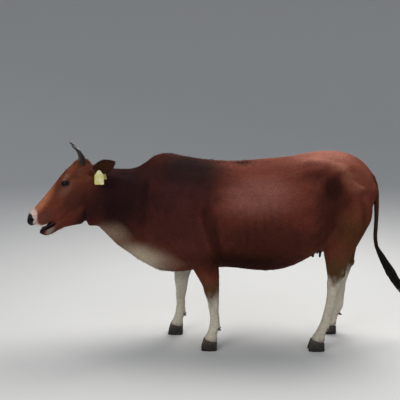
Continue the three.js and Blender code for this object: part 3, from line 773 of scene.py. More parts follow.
# Of these colours, the mouth's lining, the ear's hollow and the nostrils are painted shade.
LEATHER, PALE_RING, LIP_RIM, LID, LINING_SHADE = 0x1F1B1B, 0xB8A49B, 0xD2C9C0, 0x120C0B, 0x1C0F12
EAR_BACK, EAR_HOLLOW_SHADE, EAR_RIM, EAR_FOOT = 0x5E3526, 0x3B2317, 0x0F0A08, 0x8E705C
TEAT, NOSTRIL_SHADE, LEG_PALE, LEG_FAWN, DUSTY_FOOT = 0x2A1A17, 0x050404, 0xC6BEAE, 0x4F3820, 0x6E604E
SWITCH_DARK = 0x15110D
EYE_WHITE, IRIS, IRIS_EDGE, PUPIL = 0x3E2D29, 0x1E120B, 0x0D0806, 0x040508


def mottle(points: Array, size: float, seed: int) -> Array:
    """Soft random hills and hollows between about -1 and 1.

    Args:
        points: Where they are wanted.
        size: About how wide one is, in metres.
        seed: Which ones are drawn.

    Returns:
        Their height at each point.
    """
    dice = np.random.default_rng(seed)
    made = np.zeros(len(points))
    for _ in range(7):
        wave = dice.normal(size=3)
        wave *= 2 * np.pi / size * dice.uniform(0.6, 1.6) / np.linalg.norm(wave)
        made += np.sin(points @ wave + dice.uniform(0, 2 * np.pi))
    return made / 3


def leg_share(straight: Array) -> Array:
    """How far each point lies within the width and length of one of the legs, from 0 to 1."""
    x, y, _ = straight.T
    made = np.zeros(len(x))
    for side, start, end in LEG_SPANS:
        made += (y * side > 0) * ramp(start - 0.04, start, x) * ramp(end + 0.04, end, x)
    return made * ramp(0.03, 0.05, np.abs(y))


@dataclass
class EarAxes:
    """One ear's own axes, from its root along to the tip, across, and out of its hollow."""

    side: int
    root: Place = (-0.638, 0.070, 1.034)
    tips: tuple = ((-0.500, 0.202, 1.104), (-0.556, 0.218, 1.004))
    hollow: Place = (-0.45, 0.85, -0.3)

    def __post_init__(self) -> None:
        """Works out the axes on the turned neck."""
        mirror = np.array([1, self.side, 1])
        ends = np.array([self.root, self.tips[0 if self.side < 0 else 1]]) * mirror
        self.start, tip = BODY.bend(ends)
        self.length = np.linalg.norm(tip - self.start)
        self.along = (tip - self.start) / self.length
        out = BODY.turn_vectors(ends[:1], (np.array([self.hollow]) * mirror))[0]
        self.across = np.cross(self.along, out)
        self.across *= np.sign(self.across[2]) / np.linalg.norm(self.across)
        self.facing = np.cross(self.across, self.along)
        self.facing *= np.sign(self.facing @ out)

    def measure(self, points: Array) -> Array:
        """Shares of the length, metres across and metres out of the hollow."""
        local = (points - self.start) @ np.stack([self.along, self.across, self.facing]).T
        local[:, 0] /= self.length
        return local

    def holds(self, points: Array) -> Array:
        """How far each point belongs to the ear, from 0 to 1."""
        local = self.measure(points)
        near = (np.abs(local[:, 1]) < 0.062) & (np.abs(local[:, 2]) < 0.045) & (local[:, 0] < 1.1)
        return ramp(0.10, 0.24, local[:, 0]) * near


EARS = {name: EarAxes(side) for name, side in SIDES.items()}


@dataclass
class Dressing:
    """What each place of the skin carries: its colour, how bare it is, and its hair's lie and length."""

    points: Array
    normals: Array
    # the groove depth at which the painted shade in it is full
    groove_depth_for_full_shade: float = 0.009

    def __post_init__(self) -> None:
        """Measures every point in the body's and the head's axes."""
        self.straight = BODY.straighten(self.points)
        self.local = HEAD.measure(self.points)
        self.facing = self.normals @ HEAD.matrix.T
        self.ragged = mottle(self.points, 0.05, 3) + 0.5 * mottle(self.points, 0.018, 4)
        self.on_head = ramp(-0.585, -0.655, self.straight[:, 0])
        self.ears = {name: ear.holds(self.points) for name, ear in EARS.items()}
        self.on_ear = np.maximum(*self.ears.values())
        self.hollow = np.zeros(len(self.points))
        for name, ear in EARS.items():
            turned = ramp(-0.1, 0.35, self.normals @ ear.facing)
            self.hollow = np.maximum(self.hollow, self.ears[name] * turned)
        self.on_leg = ramp(0.54, 0.46, self.straight[:, 2]) * leg_share(self.straight)
        self.on_tail = ramp(0.995, 1.012, self.straight[:, 0]) * (np.abs(self.straight[:, 1]) < 0.045)
        # how deep the body's grooves are, for the painted shade in them
        self.groove = np.zeros(len(self.points))
        folded = np.column_stack([self.straight[:, 0], np.abs(self.straight[:, 1]), self.straight[:, 2]])
        for form in BODY_FORMS + NECK_WRINKLES:
            if form.height < 0:
                self.groove += np.abs(form.lift(folded)) / self.groove_depth_for_full_shade
        self.measure_face()

    def measure_face(self) -> None:
        """Finds the bare places of the head: nose leather, lips, lids and the mouth's lining."""
        along, side, above = self.local.T / MM
        on = self.on_head * (1 - self.on_ear)
        edge = np.interp(above, [-32, -13, 5, 24, 34, 44], [458, 431, 411, 402, 412, 470])
        self.leather = ramp(-3, 3, along - edge - 3 * self.ragged) * on
        ring_edge = np.interp(above, [-40, -13, 5, 26, 44], [452, 431, 410, 396, 392])
        self.ring = ramp(-42, -24, along - ring_edge - 3 * self.ragged) * ramp(-62, -44, above) * on
        folded = np.column_stack([along, np.abs(side), above]) * MM
        gap, _ = distance_to_line(folded, np.array(LIP_EDGE) * MM)
        self.rim = ramp(13, 7, gap / MM + 1.2 * self.ragged) * on
        slope = (along - 364) / 80
        middle = -111 + 48 * slope
        depth = np.abs(above - middle)
        jaws = (along > 352) & (along < 475) & (np.abs(side) < 56) & (depth < 12 + 30 * np.clip(slope, 0, 1))
        faces_gap = np.where(above > middle, -self.facing[:, 2], self.facing[:, 2])
        self.lining = jaws * ramp(0.35, 0.75, faces_gap) * on
        gap, _ = distance_to_line(folded, np.array(NOSTRIL) * MM)
        self.nostril = ramp(10, 6, gap / MM) * on
        self.lid = np.zeros(len(along))
        for eye in EYES.values():
            near = np.nonzero(np.linalg.norm(self.local - eye.middle, axis=1) < 0.036)[0]
            places, _ = eye.spread(self.local[near])
            self.lid[near] = np.maximum(self.lid[near], ramp(6.5, 1.5, eye.outside(places)))

    def colours(self) -> Array:
        """Each point's colour as linear red, green, blue and one, painted shade and highlight included."""
        made = np.tile(linear(MAHOGANY), (len(self.points), 1))

        def lay(code: int, share: Array) -> None:
            """Blends a colour in by its share at each point."""
            made[:] += (linear(code) - made) * np.clip(share, 0, 1)[:, None]

        for patch in BODY_PATCHES:
            lay(patch.colour, patch.share(self.straight, self.ragged))
        for patch in HEAD_PATCHES:
            lay(patch.colour, patch.share(self.local, self.ragged) * self.on_head)
        x, y, z = self.straight.T
        self.paint_legs(lay, x, y, z)
        lay(EAR_BACK, self.on_ear)
        # painted shade in each ear's hollow
        lay(EAR_HOLLOW_SHADE, self.hollow)
        for name, ear in EARS.items():
            share, across, _ = ear.measure(self.points).T
            edge = ramp(0.030, 0.042, np.abs(across) + 0.030 * ramp(0.80, 1.0, share))
            lay(EAR_RIM, self.ears[name] * edge * ramp(0.25, 0.6, share) * 0.85)
        lay(EAR_FOOT, 0.5 * ramp(0.30, 0.10, np.abs(self.on_ear - 0.3)) * self.on_head * (self.on_ear > 0.05))
        lay(PALE_RING, self.ring * 0.9)
        lay(LIP_RIM, self.rim * 0.9)
        lay(LEATHER, self.leather)
        # painted shade: the mouth's lining near black, as the shade inside the mouth
        lay(LINING_SHADE, self.lining)
        # painted shade: the nostrils near black, as the shade inside them
        lay(NOSTRIL_SHADE, self.nostril)
        lay(LID, self.lid)
        lay(TEAT, self.teats(0.580, 0.560))
        # painted shade: the body's grooves and creases darker
        made *= (1 - 0.52 * np.clip(self.groove, 0, 1) * (1 - self.on_head))[:, None]
        made *= (1 + 0.08 * mottle(self.points, 0.16, 8) + 0.05 * self.ragged)[:, None]
        return np.column_stack([np.clip(made, 0.002, 0.9), np.ones(len(made))])

    def paint_legs(self, lay: Callable, x: Array, y: Array, z: Array) -> None:
        """Runs fawn and then pale grey down the legs; the right foreleg is the palest.

        Args:
            lay: Blends a colour in by its share at each point.
            x: The points' places in the straight body's axes.
            y: The same.
            z: The same.
        """
        hind = x > 0.45
        right_fore = (~hind) & (y > 0)
        top = np.where(hind, 0.62, np.where(right_fore, 0.58, 0.48)) + 0.02 * self.ragged
        leg = leg_share(self.straight)
        lay(LEG_FAWN, 0.9 * leg * ramp(top, top - 0.12, z))
        pale = np.where(hind, 0.47, np.where(right_fore, 0.49, 0.36)) + 0.02 * self.ragged
        lay(LEG_PALE, 0.95 * leg * ramp(pale, pale - 0.10, z))
        lay(DUSTY_FOOT, 0.55 * leg * ramp(0.09, 0.05, z))

    def teats(self, high: float, low: float) -> Array:
        """How far each point lies on the teats, which begin between two heights."""
        x, y, z = self.straight.T
        return ramp(high, low, z) * (x > 0.64) * (x < 0.73) * (np.abs(y) < 0.06)

    def bareness(self) -> Array:
        """1 where the skin shows moist and hairless, 0 under the coat."""
        x, y, z = self.straight.T
        teats = self.teats(0.585, 0.570)
        rear = ramp(0.024, 0.014, np.abs(y)) * (x > 0.96) * ramp(1.009, 1.003, x) * ramp(0.80, 0.83, z)
        places = (self.leather, self.lining, self.nostril, self.lid, 0.8 * self.rim, teats, rear * (z < 0.95))
        return np.clip(np.max(places, axis=0), 0, 1)

    def cover(self) -> Array:
        """How thickly the coat stands, from 0 to 1."""
        x, y, z = self.straight.T
        udder = ramp(0.66, 0.62, z) * (x > 0.62) * (x < 0.81) * (np.abs(y) < 0.08)
        foot = ramp(0.050, 0.060, z)
        stump = 1 - ramp(0.555, 0.545, z) * self.on_tail
        haired = ramp(0.55, 0.12, self.bareness())
        return haired * (1 - 0.75 * udder) * foot * stump

    def lengths(self) -> Array:
        """How long the coat's tufts are, in metres."""
        x, y, z = self.straight.T
        made = np.full(len(x), 15.0)
        made += 6 * ramp(0.15, -0.2, x) * ramp(0.08, 0.03, np.abs(y)) * (z > 0.9)  # crest
        made += 5 * ramp(0.56, 0.46, z) * (np.abs(y) < 0.16)  # belly
        made += 6 * ramp(0.60, 0.50, z) * ramp(-0.2, -0.3, x)  # brisket
        made += (9.5 - made) * self.on_leg
        made += (12 - made) * self.on_tail
        along, side, above = self.local.T / MM
        face = 6.5 + 8 * ramp(80, 10, along) + 3.0 * ramp(-120, -160, above)
        face = face - 2.8 * ramp(300, 400, along)
        made += (face - made) * self.on_head
        made += (8 + 6 * self.hollow - made) * self.on_ear
        return made * MM

    def lies(self) -> Array:
        """The direction in which the hair lies on each place, along the skin."""
        x, y, z = self.straight.T
        flow = np.tile([1.0, 0.0, -0.28], (len(x), 1))

        def turn(towards: tuple, share: Array) -> None:
            """Turns the flow towards a direction by its share at each point."""
            flow[:] += (np.array(towards) - flow) * share[:, None]

        turn((0.75, 0, -0.65), ramp(0.04, -0.12, x))  # shoulder
        turn((0.9, 0, -0.5), ramp(-0.26, -0.40, x))  # neck
        turn((0.3, 0, -1), ramp(0.64, 0.50, z) * ramp(-0.16, -0.28, x))  # brisket
        turn((0.6, 0, -0.8), ramp(0.66, 0.80, x))  # rump
        turn((0.25, 0, -1), ramp(0.95, 0.80, z) * ramp(0.70, 0.78, x))  # thigh
        turn((0.12, 0, -1), self.on_leg)
        turn((0.04, 0, -1), self.on_tail)
        flow[:, 2] += 0.25 * mottle(self.straight, 0.30, 12)
        flow = BODY.turn_vectors(self.straight, flow)
        along, side, above = self.local.T / MM
        face = np.tile([1.0, 0.0, 0.0], (len(x), 1))
        face[:, 0] = ramp(96, 124, along) * 2 - 1
        face[:, 1] = 0.35 * np.clip(side / 40, -1, 1)
        cheek = ramp(-14, -60, above)
        face += (np.array([0.15, 0, -0.95]) - face) * cheek[:, None]
        flow += (face @ HEAD.matrix - flow) * self.on_head[:, None]
        for name, ear in EARS.items():
            flow += (ear.along - flow) * self.ears[name][:, None]
        flow -= self.normals * (flow * self.normals).sum(1)[:, None]
        return unit(flow)


# ---------------------------------------- nodes and finishes

class Sketch:
    """Adds nodes to a tree, one short call each."""

    def __init__(self, tree: NodeTree) -> None:
        """Keeps the tree that the nodes go into."""
        self.tree = tree

    def add(self, kind: str, feeds: dict | None = None, **settings: object) -> Node:
        """Adds one node.

        Args:
            kind: The node's type.
            feeds: What goes into its inputs, by name or number: a socket or a value.
            settings: The node's own properties.

        Returns:
            The new node.
        """
        node = self.tree.nodes.new(kind)
        for name, value in settings.items():
            setattr(node, name, value)
        for name, value in (feeds or {}).items():
            if isinstance(name, int):
                socket = node.inputs[name]
            else:
                socket = next(each for each in node.inputs if each.name == name and each.enabled)
            if isinstance(value, NodeSocket):
                self.tree.links.new(value, socket)
            else:
                socket.default_value = value
        return node

    def out(self, kind: str, feeds: dict | None = None, **settings: object) -> NodeSocket:
        """Adds one node and returns its first output that is in use."""
        node = self.add(kind, feeds, **settings)
        return next(each for each in node.outputs if each.enabled)

    def read(self, name: str, output: str = "Vector") -> NodeSocket:
        """The mesh's own attribute, in a shader."""
        return self.add("ShaderNodeAttribute", attribute_name=name).outputs[output]

    def named(self, name: str, kind: str = "FLOAT_VECTOR") -> NodeSocket:
        """The mesh's own attribute, in a geometry tree."""
        return self.out("GeometryNodeInputNamedAttribute", {"Name": name}, data_type=kind)

    def blend(self, share: object, first: int, second: int) -> NodeSocket:
        """A mix of two colour codes."""
        return self.out("ShaderNodeMix", {
            "Factor": share, "A": (*linear(first), 1), "B": (*linear(second), 1)}, data_type="RGBA")

    def sum(self, operation: str, *values: object) -> NodeSocket:
        """One step of arithmetic on numbers."""
        return self.out("ShaderNodeMath", dict(enumerate(values)), operation=operation)

    def times(self, first: object, second: object) -> NodeSocket:
        """The product of two numbers."""
        return self.sum("MULTIPLY", first, second)

    def vector(self, operation: str, first: object, second: object) -> NodeSocket:
        """One step of arithmetic on two vectors."""
        return self.out("ShaderNodeVectorMath", {0: first, 1: second}, operation=operation)

    def scale(self, vector: object, number: object) -> NodeSocket:
        """A vector made longer by a number."""
        return self.out("ShaderNodeVectorMath", {"Vector": vector, "Scale": number}, operation="SCALE")

    def noise(self, place: object, scale: object, detail: float, roughness: float = 0.5) -> NodeSocket:
        """Noise that runs with a place."""
        return self.out("ShaderNodeTexNoise", {
            "Vector": place, "Scale": scale, "Detail": detail, "Roughness": roughness})

    def group(self, name: str, feeds: dict) -> Node:
        """One of the shared shader groups."""
        return self.add("ShaderNodeGroup", feeds, node_tree=bpy.data.node_groups[name])

    def place(self) -> NodeSocket:
        """The object coordinates."""
        return self.add("ShaderNodeTexCoord").outputs["Object"]

    def wire(self, value: NodeSocket, node: Node, name: str) -> None:
        """Links a value to a node's input."""
        self.tree.links.new(value, node.inputs[name])

    def dot(self, first: object, second: object) -> NodeSocket:
        """The scalar product of two vectors."""
        node = self.add("ShaderNodeVectorMath", {0: first, 1: second}, operation="DOT_PRODUCT")
        return node.outputs["Value"]

    def span(self, value: object, low: float, high: float, start: float = 0.0,
             end: float = 1.0) -> NodeSocket:
        """Maps low…high onto start…end, and no further."""
        return self.out("ShaderNodeMapRange", {
            "Value": value, "From Min": low, "From Max": high, "To Min": start, "To Max": end})


def new_tree(name: str, kind: str, inputs: dict, outputs: dict) -> tuple[NodeTree, Sketch, dict]:
    """Starts a node tree with the sockets it takes and gives.

    Args:
        name: The tree's name.
        kind: "Shader" or "Geometry".
        inputs: Its inputs' types by name, such as "Float".
        outputs: Its outputs' types by name.

    Returns:
        The tree, a sketch of it, and its inputs by name.
    """
    tree = bpy.data.node_groups.new(name, kind + "NodeTree")
    for way, sockets in (("INPUT", inputs), ("OUTPUT", outputs)):
        for socket, type_name in sockets.items():
            tree.interface.new_socket(socket, in_out=way, socket_type="NodeSocket" + type_name)
    sketch = Sketch(tree)
    start = sketch.add("NodeGroupInput")
    return tree, sketch, {socket: start.outputs[socket] for socket in inputs}


GRAIN_OUTPUTS = {"Shade": "Float", "Height": "Float"}
STREAK_WAYS = ((0.94, 0.0, -0.34), (0.33, 0.0, -0.94), (0.62, 0.15, 0.77))


def hair_streaks() -> NodeTree:
    """The group that draws fine hairs: a shade and a height, drawn out along the way nearest to the lie."""
    tree, sketch, given = new_tree(
        "hair streaks", "Shader", {"Place": "Vector", "Lie": "Vector", "Fineness": "Float"}, GRAIN_OUTPUTS)
    total, weights = 0.0, 0.0001
    for way in STREAK_WAYS:
        run = sketch.dot(given["Place"], way)
        place = sketch.vector("ADD", given["Place"], sketch.scale(way, sketch.times(run, -0.88)))
        fine = sketch.noise(place, given["Fineness"], 3.0, 0.65)
        weight = sketch.sum("POWER", sketch.sum("ABSOLUTE", sketch.dot(given["Lie"], way)), 6.0)
        total = sketch.sum("ADD", sketch.times(fine, weight), total)
        weights = sketch.sum("ADD", weight, weights)
    locks = sketch.noise(given["Place"], sketch.times(given["Fineness"], 0.15), 2.0)
    both = sketch.sum("ADD", sketch.times(sketch.sum("DIVIDE", total, weights), 0.75),
                      sketch.times(locks, 0.25))
    sketch.add("NodeGroupOutput", {"Shade": sketch.span(both, 0.32, 0.68), "Height": both})
    return tree


def growth_grain() -> NodeTree:
    """The group that draws the layered grain of horn and hoof: a shade and a height."""
    tree, sketch, given = new_tree(
        "growth grain", "Shader", {"Along": "Float", "Place": "Vector", "Rings": "Float"}, GRAIN_OUTPUTS)
    cloud = sketch.noise(given["Place"], 60.0, 4.0)
    turn = sketch.sum("ADD", sketch.times(given["Along"], given["Rings"]), sketch.times(cloud, 3.0))
    height = sketch.sum("ADD", sketch.times(sketch.sum("SINE", turn), 0.5), cloud)
    sketch.add("NodeGroupOutput", {"Shade": cloud, "Height": height})
    return tree


@dataclass(frozen=True)
class Finish:
    """A material that starts from one Principled shader."""

    name: str
    roughness: float = 0.5
    specular: float = 0.5
    coat: float = 0.0
    sheen: float = 0.0
    subsurface: float = 0.0

    def start(self) -> tuple[Material, Sketch, Node]:
        """A new material with its constant values set on the shader itself."""
        made = bpy.data.materials.new(self.name)
        made.use_nodes = True
        shader = made.node_tree.nodes["Principled BSDF"]
        values = {"Roughness": self.roughness, "Specular IOR Level": self.specular, "Coat Weight": self.coat,
                  "Coat Roughness": 0.04, "Sheen Weight": self.sheen, "Sheen Roughness": 0.45,
                  "Subsurface Weight": self.subsurface, "Subsurface Scale": 0.004}
        for socket, value in values.items():
            shader.inputs[socket].default_value = value
        return made, Sketch(made.node_tree), shader

    def bump(self, sketch: Sketch, shader: Node, height: object, distance: float,
             strength: float = 1.0) -> None:
        """Raises the surface a little by a height."""
        normal = sketch.out("ShaderNodeBump", {"Height": height, "Distance": distance, "Strength": strength})
        sketch.wire(normal, shader, "Normal")


@dataclass(frozen=True)
class CoatFinish(Finish):
    """Hair in the skin's colours, painted shade and highlight among them, drawn with fine streaks, and on the
    tufts painted darker at the root as shade between the hairs; on the skin, bare places turn to leather.
    """

    fineness: float = 520.0
    on_skin: bool = False
    pebbles: float = 240.0  # how many to the metre on the bare leather
    moist: float = 0.37  # the bare leather's roughness

    def build(self) -> Material:
        """Makes the material."""
        made, sketch, shader = self.start()
        streaks = sketch.group("hair streaks", {
            "Place": sketch.place(), "Lie": sketch.read("lie"), "Fineness": self.fineness})
        shade = sketch.span(streaks.outputs["Shade"], 0, 1, 0.66, 1.34)
        if self.on_skin:
            self.leather(sketch, shader, shade, streaks.outputs["Height"])
        else:
            up = sketch.add("ShaderNodeSeparateXYZ", {0: sketch.read("blade")}).outputs["Y"]
            # painted shade between the hairs: each tuft darker towards its root
            depth = sketch.span(up, 0, 0.5, 0.80, 1.02)
            lit = sketch.times(sketch.times(shade, depth), sketch.read("tint", "Fac"))
            sketch.wire(sketch.scale(sketch.read("marking", "Color"), lit), shader, "Base Color")
            self.bump(sketch, shader, streaks.outputs["Height"], 0.0008, 0.7)
        return made

    def leather(self, sketch: Sketch, shader: Node, shade: NodeSocket, hair: NodeSocket) -> None:
        """Blends the hair into moist leather where the skin is bare.

        Args:
            sketch: The material's sketch.
            shader: Its Principled shader.
            shade: The hair's shade.
            hair: The hair's height.
        """
        bare, colour = sketch.read("bare", "Fac"), sketch.read("marking", "Color")
        cells = sketch.add("ShaderNodeTexVoronoi", {"Vector": sketch.place(), "Scale": self.pebbles})
        plain = sketch.out("ShaderNodeMix", {"Factor": bare, "A": shade, "B": 1.0}, data_type="FLOAT")
        sketch.wire(sketch.scale(colour, plain), shader, "Base Color")
        sketch.wire(sketch.span(bare, 0, 1, self.roughness, self.moist), shader, "Roughness")
        pebbled = sketch.times(cells.outputs["Distance"], -1.0)
        height = sketch.out("ShaderNodeMix", {"Factor": bare, "A": hair, "B": pebbled}, data_type="FLOAT")
        self.bump(sketch, shader, height, 0.0011, 0.8)


@dataclass(frozen=True)
class HornFinish(Finish):
    """Dark layered horn, paler towards its foot or its ground edge."""

    dark: int = 0x17120E
    pale: int = 0x463A2D
    rings: float = 70.0

    def build(self) -> Material:
        """Makes the material, which reads the piece's own run from foot to tip."""
        made, sketch, shader = self.start()
        along = sketch.read("run", "Fac")
        grain = sketch.group("growth grain", {"Along": along, "Place": sketch.place(), "Rings": self.rings})
        share = sketch.sum("ADD", sketch.span(along, 0.0, 0.75, 0.75, 0.0),
                           sketch.span(grain.outputs["Shade"], 0.3, 0.7, -0.3, 0.3))
        sketch.wire(sketch.blend(share, self.dark, self.pale), shader, "Base Color")
        self.bump(sketch, shader, grain.outputs["Height"], 0.0009, 0.6)
        return made


@dataclass(frozen=True)
class PlainFinish(Finish):
    """One colour with soft clouds of a second one."""

    first: int = 0xBDB455
    second: int = 0xD9D6B4
    size: float = 30.0
    grit: float = 0.0003

    def build(self) -> Material:
        """Makes the material."""
        made, sketch, shader = self.start()
        cloud = sketch.noise(sketch.place(), self.size, 4.0)
        colour = sketch.blend(sketch.span(cloud, 0.38, 0.66), self.first, self.second)
        sketch.wire(colour, shader, "Base Color")
        self.bump(sketch, shader, cloud, self.grit)
        return made


@dataclass(frozen=True)
class PaintedFinish(Finish):
    """The piece's own painted colours under a wet gloss, as an eye has."""

    def build(self) -> Material:
        """Makes the material."""
        made, sketch, shader = self.start()
        sketch.wire(sketch.read("marking", "Color"), shader, "Base Color")
        return made


# ---------------------------------------- tufts and locks

def finish_tree(sketch: Sketch, geometry: object, material: object) -> None:
    """Ends a tree: realizes it, lays its bake map at the roots' places and sets its material.

    Args:
        sketch: The tree's sketch.
        geometry: What has been made; it carries root_place, and blade, which runs over one tuft's own patch.
        material: The material's socket.
    """
    real = sketch.out("GeometryNodeRealizeInstances", {"Geometry": geometry})
    root = sketch.vector("MINIMUM", sketch.named("root_place"), (1 - TUFT_PATCH,) * 3)
    place = sketch.vector("ADD", root, sketch.scale(sketch.named("blade"), TUFT_PATCH))
    mapped = sketch.out("GeometryNodeStoreNamedAttribute", {
        "Geometry": real, "Name": BAKE_MAP, "Value": place}, data_type="FLOAT2", domain="CORNER")
    done = sketch.out("GeometryNodeSetMaterial", {"Geometry": mapped, "Material": material})
    sketch.add("NodeGroupOutput", {"Geometry": done})


def tuft_tree() -> NodeTree:
    """The tree that scatters tufts over a skin, each lying along the skin's own lie."""
    tree, sketch, given = new_tree("lay tufts", "Geometry", {
        "Geometry": "Geometry", "Tuft": "Object", "Density": "Float", "Width": "Float", "Lift": "Float",
        "Loose": "Float", "Seed": "Int", "Material": "Material"}, {"Geometry": "Geometry"})

    def chance(low: float, high: float, turn: int) -> NodeSocket:
        """A random number for each tuft; each turn draws other numbers."""
        seed = sketch.out("FunctionNodeIntegerMath", {0: given["Seed"], 1: turn}, operation="ADD")
        feeds = {"Min": low, "Max": high, "Seed": seed}
        return sketch.out("FunctionNodeRandomValue", feeds, data_type="FLOAT")

    cover = sketch.named("cover", "FLOAT")
    spread = sketch.add("GeometryNodeDistributePointsOnFaces", {
        "Mesh": given["Geometry"], "Density": sketch.times(cover, given["Density"]), "Seed": given["Seed"]})
    normal = sketch.named("up")
    lie = sketch.named("lie")
    points = spread.outputs["Points"]
    tinted = sketch.out("GeometryNodeStoreNamedAttribute", {
        "Geometry": points, "Name": "tint", "Value": chance(0.84, 1.18, 1)}, data_type="FLOAT")
    kept = sketch.out("GeometryNodeStoreNamedAttribute", {
        "Geometry": tinted, "Name": "root_place", "Value": sketch.named(BAKE_MAP)}, data_type="FLOAT_VECTOR")
    beside = sketch.vector("CROSS_PRODUCT", normal, lie)
    loose = sketch.times(given["Loose"], chance(-1, 1, 2))
    stand = sketch.vector("ADD", lie, sketch.scale(beside, loose))
    lift = sketch.times(given["Lift"], chance(0.4, 1.7, 5))
    stand = sketch.vector("ADD", stand, sketch.scale(normal, lift))
    turn = sketch.out("FunctionNodeAxesToRotation", {"Primary Axis": stand, "Secondary Axis": normal},
                      primary_axis="Y", secondary_axis="Z")
    length = sketch.named("coat_length", "FLOAT")
    wide = sketch.times(given["Width"], chance(0.7, 1.3, 6))
    size = sketch.out("ShaderNodeCombineXYZ", {
        0: wide, 1: sketch.times(length, chance(0.7, 1.25, 7)), 2: wide})
    blade = sketch.add("GeometryNodeObjectInfo", {"Object": given["Tuft"]}).outputs["Geometry"]
    laid = sketch.out("GeometryNodeInstanceOnPoints", {
        "Points": kept, "Instance": blade, "Rotation": turn, "Scale": size})
    finish_tree(sketch, laid, given["Material"])
    return tree


def lock_tree() -> NodeTree:
    """The tree that gives each guide line its girth, as a closed round lock."""
    tree, sketch, given = new_tree("round locks", "Geometry", {
        "Geometry": "Geometry", "Sides": "Int", "Material": "Material"}, {"Geometry": "Geometry"})
    line = sketch.out("GeometryNodeMeshToCurve", {"Mesh": given["Geometry"]})
    girth = sketch.named("girth", "FLOAT")
    ring = sketch.out("GeometryNodeCurvePrimitiveCircle", {"Resolution": given["Sides"], "Radius": 1.0})
    share = sketch.out("GeometryNodeSplineParameter")
    marked = sketch.out("GeometryNodeStoreNamedAttribute", {
        "Geometry": ring, "Name": "round", "Value": share}, data_type="FLOAT")
    tube = sketch.out("GeometryNodeCurveToMesh", {
        "Curve": line, "Profile Curve": marked, "Scale": girth, "Fill Caps": True})
    across = sketch.scale((1.0, 0.0, 0.0), sketch.named("round", "FLOAT"))
    bladed = sketch.out("GeometryNodeStoreNamedAttribute", {
        "Geometry": tube, "Name": "blade", "Value": sketch.vector("ADD", sketch.named("blade"), across)},
        data_type="FLOAT_VECTOR")
    finish_tree(sketch, bladed, given["Material"])
    return tree


def grow(thing: Object, tree: NodeTree, settings: dict) -> Mesh:
    """Runs a geometry tree on an object and keeps the plain mesh that it makes.

    Args:
        thing: The object that carries what the tree reads.
        tree: The geometry tree.
        settings: The tree's inputs by name.

    Returns:
        The object's new mesh.
    """
    modifier = thing.modifiers.new(tree.name, "NODES")
    modifier.node_group = tree
    sockets = {each.name: each.identifier for each in tree.interface.items_tree if each.in_out == "INPUT"}
    for name, value in settings.items():
        modifier[sockets[name]] = value
    return settle(thing)


